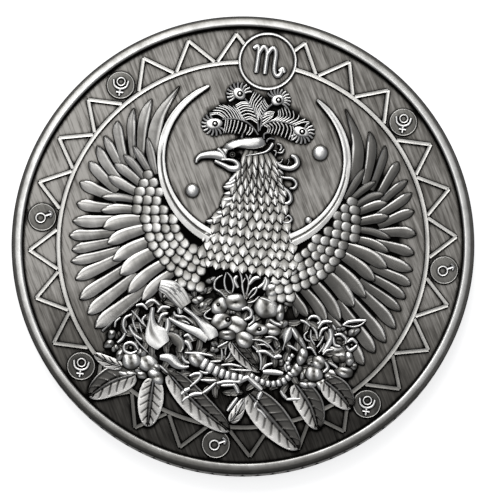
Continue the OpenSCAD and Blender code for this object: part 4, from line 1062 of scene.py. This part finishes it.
sprays = start_mesh()
arcs(sprays, [(0.26, (-7.6, -6.35), (-7.3, -6.05), (-6.9, -5.98), (-6.4, -6.3)),
              (0.24, (-8.4, -6.6), (-7.85, -6.45), (-7.4, -6.8)),
              (0.24, (-6.5, -6.95), (-6.15, -6.45), (-5.5, -6.38)),
              (0.26, (-6.3, -7.8), (-6.1, -7.15), (-5.6, -6.9)),
              (0.17, (-8.7, -7.1), (-8.1, -7.6), (-7.7, -8.0), (-7.3, -8.3)),
              (0.17, (-8.55, -7.7), (-8.35, -8.3), (-8.0, -8.85)),
              (0.22, (-8.65, -7.4), (-9.2, -7.8), (-9.25, -8.5), (-8.9, -9.05)),
              (0.26, (-8.75, -8.4), (-8.3, -9.05), (-7.5, -9.45)),
              (0.17, (-9.6, -7.8), (-9.95, -8.2), (-9.95, -8.7)),
              (0.2, (-7.45, -7.3), (-7.7, -7.75), (-7.5, -8.1)),
              (0.42, (-5.55, -7.35), (-5.45, -8.0), (-5.55, -8.7)),
              (0.24, (-9.0, -9.1), (-9.2, -9.6), (-9.55, -10.0)),
              (0.14, (-8.2, -9.3), (-7.6, -9.9), (-6.8, -10.5)),
              (0.14, (-7.9, -8.1), (-7.75, -8.5), (-7.6, -8.8)),
              (0.2, (-6.0, -8.0), (-5.95, -8.5), (-6.2, -8.9)),
              (0.22, (-5.1, -6.7), (-4.9, -7.0), (-4.2, -7.05)),
              (0.24, (-3.95, -8.7), (-3.6, -8.55), (-3.1, -9.0)),
              (0.36, (-3.85, -9.1), (-3.45, -9.3), (-3.2, -9.8)),
              (0.2, (-6.0, -11.4), (-5.5, -11.6), (-4.95, -12.0)),
              (0.24, (6.45, -5.85), (6.7, -5.55), (7.2, -5.52), (7.5, -5.85), (7.3, -6.1)),
              (0.22, (5.8, -6.0), (6.25, -6.1), (6.7, -6.4)),
              (0.26, (7.4, -6.5), (7.65, -6.0), (8.0, -5.8), (8.5, -5.78)),
              (0.22, (7.6, -7.2), (7.75, -6.6), (8.2, -6.3)),
              (0.16, (6.55, -6.85), (6.3, -7.25), (6.5, -7.6), (6.9, -7.7)),
              (0.22, (6.9, -6.45), (7.25, -6.8), (7.45, -7.4)), (0.16, (6.8, -6.7), (6.9, -7.4), (7.3, -7.95)),
              (0.16, (7.5, -8.1), (7.75, -7.7), (7.95, -7.1)),
              (0.42, (8.4, -6.4), (8.6, -7.0), (8.5, -7.6), (8.1, -8.5)),
              (0.2, (8.6, -6.05), (8.75, -6.2), (8.9, -6.4)), (0.14, (7.7, -8.6), (8.0, -8.1), (8.1, -7.7)),
              (0.26, (9.5, -5.95), (9.9, -5.6), (10.6, -5.4), (11.4, -5.25)),
              (0.14, (9.6, -5.95), (10.4, -5.95), (11.0, -5.7), (11.35, -5.3)),
              (0.16, (1.05, -4.5), (1.35, -3.95), (1.7, -3.7), (1.6, -4.2), (1.2, -4.7)),
              (0.14, (1.1, -5.1), (1.6, -4.9), (2.0, -4.4)),
              (0.16, (-0.7, -2.15), (-0.1, -2.35), (0.25, -2.9), (0.5, -3.9), (0.8, -4.8)),
              (0.16, (0.6, -2.65), (0.95, -3.3), (0.9, -4.4)),
              (0.16, (-1.1, -2.75), (-1.15, -3.5), (-0.9, -4.2), (-0.5, -4.5)),
              (0.16, (-1.0, -2.7), (-0.6, -3.1), (-0.3, -3.8), (-0.35, -4.4)),
              (0.17, (-0.8, -4.95), (-1.3, -4.5), (-1.9, -4.2), (-1.9, -3.5), (-1.4, -3.0)),
              (0.2, (0.95, -3.0), (1.25, -2.35), (2.1, -2.2)), (0.3, (1.0, -3.5), (1.35, -2.95), (1.9, -2.75)),
              (0.4, (2.3, -2.7), (2.5, -3.1), (2.35, -3.8)), (0.26, (1.8, -3.7), (2.2, -3.3), (2.3, -2.9)),
              (0.17, (2.8, -3.1), (3.2, -2.85), (3.9, -2.9)), (0.3, (-0.1, -2.9), (-0.3, -3.3), (0.1, -3.9)),
              (0.14, (0.6, -3.0), (0.4, -3.6), (0.65, -4.4)),
              (0.16, (1.9, -8.2), (2.8, -8.2), (3.5, -8.6), (3.95, -9.1)),
              (0.14, (2.4, -8.6), (3.0, -8.5), (3.4, -8.7)), (0.16, (3.0, -7.85), (3.6, -7.75), (4.1, -7.95)),
              (0.2, (5.0, -8.3), (5.4, -8.4), (5.9, -8.65)),
              (0.17, (-0.95, -9.25), (-0.6, -9.0), (-0.15, -8.65)),
              (0.17, (-0.6, -9.4), (-0.5, -9.8), (-0.45, -10.3)),
              (0.14, (-0.2, -9.1), (-0.25, -9.5), (-0.2, -9.85)),
              (0.14, (0.2, -9.5), (0.1, -9.9), (-0.15, -10.25)),
              (0.17, (-1.4, -10.55), (-1.0, -10.5), (-0.5, -10.4)),
              (0.2, (-0.45, -10.75), (0.4, -10.58), (1.3, -10.65)),
              (0.17, (0.4, -11.0), (1.4, -10.95), (2.2, -10.85)),
              (0.22, (3.1, -10.7), (3.35, -10.3), (3.9, -10.0)),
              (0.4, (3.2, -10.85), (4.0, -10.75), (4.9, -10.75))])
finish_piece("spray_petals", sprays, fine_silver, ["flower_sprays"])

# ---- Leaves ----
# Eight leaves spread below the flowers and over the border. Each has a raised midrib. One half is
# rubbed bright with black slits between its veins, and the other lies deeper with bright thin veins.

leaf_mesh = start_mesh()
# Each leaf is its path from root to tip, its width, its deeper side and how many veins it has
LEAVES = [([(-7.7, -12.5), (-9.6, -13.4), (-11.35, -14.95)], 2.5, -1, 6),
          ([(-6.05, -12.7), (-6.05, -14.8), (-6.0, -16.85)], 2.15, 0, 7),
          ([(-8.9, -12.0), (-10.2, -11.75), (-11.45, -11.2)], 1.0, 0, 4),
          ([(-4.75, -12.1), (-1.9, -14.5), (1.05, -16.3)], 2.2, 1, 8),
          ([(2.3, -12.9), (4.6, -14.9), (7.1, -17.05)], 2.75, 1, 8),
          ([(6.1, -11.5), (7.6, -13.2), (8.5, -15.15)], 2.3, 1, 6),
          ([(8.5, -10.9), (9.9, -11.8), (11.1, -13.0)], 2.2, 1, 5),
          ([(0.1, -8.6), (1.4, -9.8), (2.95, -10.9)], 1.25, 1, 6),
          ([(1.0, -15.5), (1.5, -14.6), (1.9, -13.3)], 1.0, 0, 3)]


def leaf_half(wide):
    """Half width of a leaf, which is widest before its middle and pointed at its tip."""
    return lambda t: max(0.03, wide / 2 * math.sin(math.pi * min(1, t * 0.94 + 0.06) ** 0.9) ** 0.6)


def vein(t, v, count):
    """1 on a side vein and 0 between veins. The veins slant towards the tip."""
    phase = t * count - abs(v) * 1.2
    on_blade = (0.14 < abs(v) < 0.8) * (0.08 < t < 0.94)
    return (1.05 - abs(v)) ** 0.5 * bell(abs(phase - round(phase)), 0, 0.075) * on_blade


def leaf_shape(t, v, deep, count):
    """Height over a leaf: midrib, veins or slits, and a raised edge."""
    rib = 0.05 * bell(v, 0, 0.06) - 0.06 * bell(abs(v), 0.13, 0.05)
    if deep and v * deep > 0.1:
        return rib - 0.13 + 0.1 * vein(t, v, count) + 0.13 * bell(abs(v), 0.95, 0.09)
    return rib - 0.07 * vein(t, v, count)


def leaf_rub(t, v, deep, count):
    """How far a leaf is rubbed: its ribs and edges are bright, and its slits are black."""
    if abs(v) < 0.07:
        return 0.95
    if deep and v * deep > 0.1:
        return max(0.33, 0.9 * vein(t, v, count), 0.95 * bell(abs(v), 0.95, 0.09))
    return (0.56 + 0.42 * abs(v)) * (1 - 0.9 * vein(t, v, count))


ribs = start_mesh()
for path, wide, deep, count in LEAVES:
    strip(leaf_mesh, path, leaf_half(wide + 0.1), 0.42, rows=(90, 30), foot=sunk_z, crown=0.1, ease=1.1,
          shape=lambda t, v: leaf_shape(t, v, deep, count), rub=lambda t, v: leaf_rub(t, v, deep, count))
    midrib = [on_curve(path, t) for t in (0.08, 0.35, 0.65, 0.9)]
    strip(ribs, midrib, lambda t: 0.085 - 0.04 * t, 0.2, rows=(20, 4), foot=field_z + 0.3, skirt=0.04, crown=0.3)
finish_piece("veined_leaves", leaf_mesh, relief_silver, ["leaves"])
finish_piece("leaf_midribs", ribs, bright_silver, ["leaf_ribs"])

# ---- Scorpion ----
# The scorpion crawls through the bouquet, with two large claws at the left and its tail curled up
# at the right to a drooping sting. Its body and tail are banded, and its legs are thin and jointed.


def bands(bm, path, count, near, far):
    """Overlapping armour bands along a path, whose half width goes from near to far."""
    for i in range(count):
        ends = [on_curve(path, (i + f) / count) for f in (0.04, 0.96)]
        ahead = (ends[1] - ends[0]).normalized()
        across = Vector((-ahead.y, ahead.x)) * between(near, far, i / count)
        corners = [ends[0] - 0.86 * across, (ends[0] + ends[1]) / 2 - across, ends[1] - 0.96 * across,
                   ends[1] + 0.06 * ahead, ends[1] + 0.96 * across, (ends[0] + ends[1]) / 2 + across,
                   ends[0] + 0.86 * across, ends[0] - 0.04 * ahead]
        pad(bm, [tuple(c) for c in corners], 0.48 + 0.03 * (i % 2), foot=sunk_z, skirt=0.04, crown=0.2)


body_mesh = start_mesh()
petals(body_mesh, [(-2.6, -10.5, 1.35, 1.05, -25, 0)], lift=0.52)
bands(body_mesh, [(-2.15, -10.7), (-1.2, -11.15), (-0.3, -11.45), (0.6, -11.6), (1.6, -11.62)], 7, 0.56, 0.36)
arcs(body_mesh, [(0.22, (-3.65, -10.1), (-2.9, -10.05), (-2.2, -10.0), (-1.3, -10.05)),
                 (0.26, (-3.9, -10.4), (-3.6, -10.8), (-3.2, -10.95))], lift=0.5)
finish_piece("scorpion_body_segments", body_mesh, bright_silver, ["scorpion_body"])

tail = start_mesh()
bands(tail, [(2.1, -11.25), (2.9, -11.6), (3.8, -11.82), (4.6, -11.65), (5.3, -11.2), (5.6, -10.6)], 9, 0.3, 0.36)
bands(tail, [(5.45, -10.35), (5.15, -9.95), (5.3, -9.4), (5.6, -9.0)], 4, 0.26, 0.2)
petals(tail, [(4.65, -9.85, 0.5, 0.42, 70, 0), (4.2, -8.55, 0.45, 0.22, 60, 0)], lift=0.48)
strip(tail, [(5.05, -6.75), (4.85, -7.4), (4.75, -8.0), (4.62, -8.75)],
      lambda t: 0.1 + 0.32 * math.sin(math.pi * min(1, t * 1.25 + 0.05)) ** 1.2 * (t < 0.76), FLOWER_H,
      rows=(30, 10), foot=sunk_z, crown=0.35, rub=lambda t, v: 0.9)
finish_piece("scorpion_tail_segments", tail, bright_silver, ["scorpion_tail"])

claws = start_mesh()
strip(claws, [(-6.95, -6.6), (-6.95, -7.4), (-6.75, -8.3), (-6.3, -9.0), (-5.6, -9.7)],
      lambda t: 0.2 + 0.25 * t + 0.62 * bell(t, 0.74, 0.26), FLOWER_H + 0.02, rows=(44, 16), foot=sunk_z,
      crown=0.12, shape=lambda t, v: -0.05 * bell(v, -0.45 + 0.3 * t, 0.2) * bell(t, 0.6, 0.3),
      rub=lambda t, v: 1 - 0.45 * bell(v, -0.45 + 0.3 * t, 0.2) * bell(t, 0.6, 0.3))
strip(claws, [(-5.6, -8.75), (-4.9, -8.8), (-4.2, -9.4), (-4.15, -10.1)],
      lambda t: 0.2 + 0.3 * bell(t, 0.55, 0.3), 0.44, rows=(26, 10), foot=sunk_z, crown=0.3,
      shape=lambda t, v: 0.05 * bell(v, 0.8, 0.2), rub=lambda t, v: 0.5 + 0.5 * bell(v, 0.85, 0.25))
strip(claws, [(-4.25, -6.3), (-3.3, -6.85), (-2.5, -7.5), (-1.75, -8.1), (-1.45, -8.55)],
      lambda t: 0.2 + 0.42 * bell(t, 0.8, 0.32), FLOWER_H, rows=(36, 10), foot=sunk_z, crown=0.14)
strip(claws, [(-5.45, -7.3), (-4.7, -7.62), (-3.8, -7.95), (-2.9, -8.2), (-1.9, -8.6)],
      lambda t: 0.17 + 0.3 * t, 0.5, rows=(36, 8), foot=sunk_z, crown=0.14)
arcs(claws, [(0.16, (-4.5, -6.95), (-3.9, -7.1), (-3.3, -7.5)), (0.14, (-4.3, -7.4), (-3.9, -7.45), (-3.6, -7.6)),
             (0.4, (-4.75, -6.3), (-4.6, -6.55), (-4.55, -6.8))], lift=0.44)
petals(claws, [(-4.9, -8.35, 0.8, 0.5, -10, 0), (-4.0, -8.35, 0.5, 0.3, 20, 0)], lift=0.36, rub=0.6)
petals(claws, [(-1.25, -9.0, 0.6, 0.42, -20, 0), (-1.2, -9.5, 0.65, 0.45, 10, 0)], lift=0.48)
strip(claws, [(-5.75, -10.75), (-4.9, -10.75), (-4.2, -11.2), (-3.7, -11.35), (-3.2, -11.25)],
      lambda t: 0.12 + 0.34 * bell(t, 0.35, 0.35), 0.5, rows=(30, 10), foot=sunk_z, crown=0.35)
finish_piece("scorpion_claw_parts", claws, bright_silver, ["scorpion_claws"])

legs = start_mesh()
arcs(legs, [(0.26, (-3.0, -12.05), (-2.6, -11.8), (-2.1, -11.75), (-2.2, -12.2), (-2.85, -12.95)),
            (0.34, (-2.85, -13.1), (-3.2, -13.35), (-3.5, -13.7)),
            (0.24, (-0.7, -12.3), (-1.2, -12.9), (-1.7, -13.35)),
            (0.3, (-1.75, -13.4), (-2.3, -13.5), (-2.85, -13.75)),
            (0.22, (-2.8, -13.8), (-3.1, -14.0), (-3.35, -14.3)),
            (0.2, (-2.0, -12.25), (-1.3, -12.2), (-0.7, -12.1)),
            (0.28, (-0.6, -12.35), (0.2, -12.1), (1.1, -12.0)),
            (0.4, (1.15, -12.05), (1.6, -11.7), (2.05, -11.45)),
            (0.42, (2.0, -11.5), (2.6, -11.9), (3.3, -12.4)),
            (0.36, (3.3, -12.6), (3.15, -12.95), (3.1, -13.25)),
            (0.26, (3.05, -13.4), (2.9, -13.75), (2.85, -14.05)),
            (0.24, (3.1, -14.1), (3.5, -14.3), (4.0, -14.75)),
            (0.32, (0.8, -12.15), (1.1, -12.5), (1.35, -12.95)),
            (0.3, (1.3, -13.35), (1.0, -13.9), (0.6, -14.6)),
            (0.28, (4.9, -12.25), (5.2, -12.6), (5.55, -12.9)),
            (0.24, (5.5, -12.95), (6.0, -12.85), (6.65, -12.75)),
            (0.2, (1.9, -13.5), (1.7, -13.9), (1.35, -14.7)), (0.26, (2.4, -9.2), (3.2, -9.1), (4.0, -9.5)),
            (0.3, (4.0, -9.5), (4.3, -9.35), (4.6, -9.35)),
            (0.2, (2.0, -8.75), (2.6, -9.2), (2.9, -9.9), (2.95, -10.7)),
            (0.22, (-0.2, -12.5), (0.3, -12.4), (0.9, -12.3)),
            (0.2, (-1.3, -11.2), (-1.6, -11.6), (-2.2, -11.5)),
            (0.2, (5.3, -9.7), (5.0, -10.1), (5.2, -10.55))], lift=0.46)
finish_piece("scorpion_leg_joints", legs, fine_silver, ["scorpion_legs"])

# ---- Reverse ----
# The reverse carries the same ring line and triangles round a faceted star of sixteen rays.

REVERSE_H = 0.2
STAR_LONG, STAR_SHORT = 14.15, 8.77
reverse_line = start_mesh()
spun(reverse_line, ring_section(ring_in, ring_out, reverse_z + SINK, -REVERSE_H - SINK), 360)
finish_piece("reverse_ring_line", reverse_line, line_silver, ["reverse_ring"])
reverse_bars = start_mesh()
zigzag(reverse_bars, reverse_z + SINK, -REVERSE_H - SINK)
finish_piece("reverse_triangle_bars", reverse_bars, line_silver, ["reverse_triangles"])

star = start_mesh()
star_outline = [polar(STAR_LONG if i % 2 == 0 else STAR_SHORT, 360 * i / 32) for i in range(32)]
star_face = star.faces.new([star.verts.new((x, y, reverse_z + SINK)) for x, y in star_outline])
grown = bmesh.ops.extrude_face_region(star, geom=[star_face])["geom"]
bmesh.ops.translate(star, vec=(0, 0, -0.08), verts=[g for g in grown if isinstance(g, bmesh.types.BMVert)])
peak = bmesh.ops.poke(star, faces=[g for g in grown if isinstance(g, bmesh.types.BMFace)])["verts"]
bmesh.ops.translate(star, vec=(0, 0, 0.06 - REVERSE_H), verts=peak)
layer = star.verts.layers.float["rub"]
for vert in star.verts:
    vert[layer] = 0.85
finish_piece("reverse_star_facets", star, disc_silver, ["reverse_star"], smooth=False)
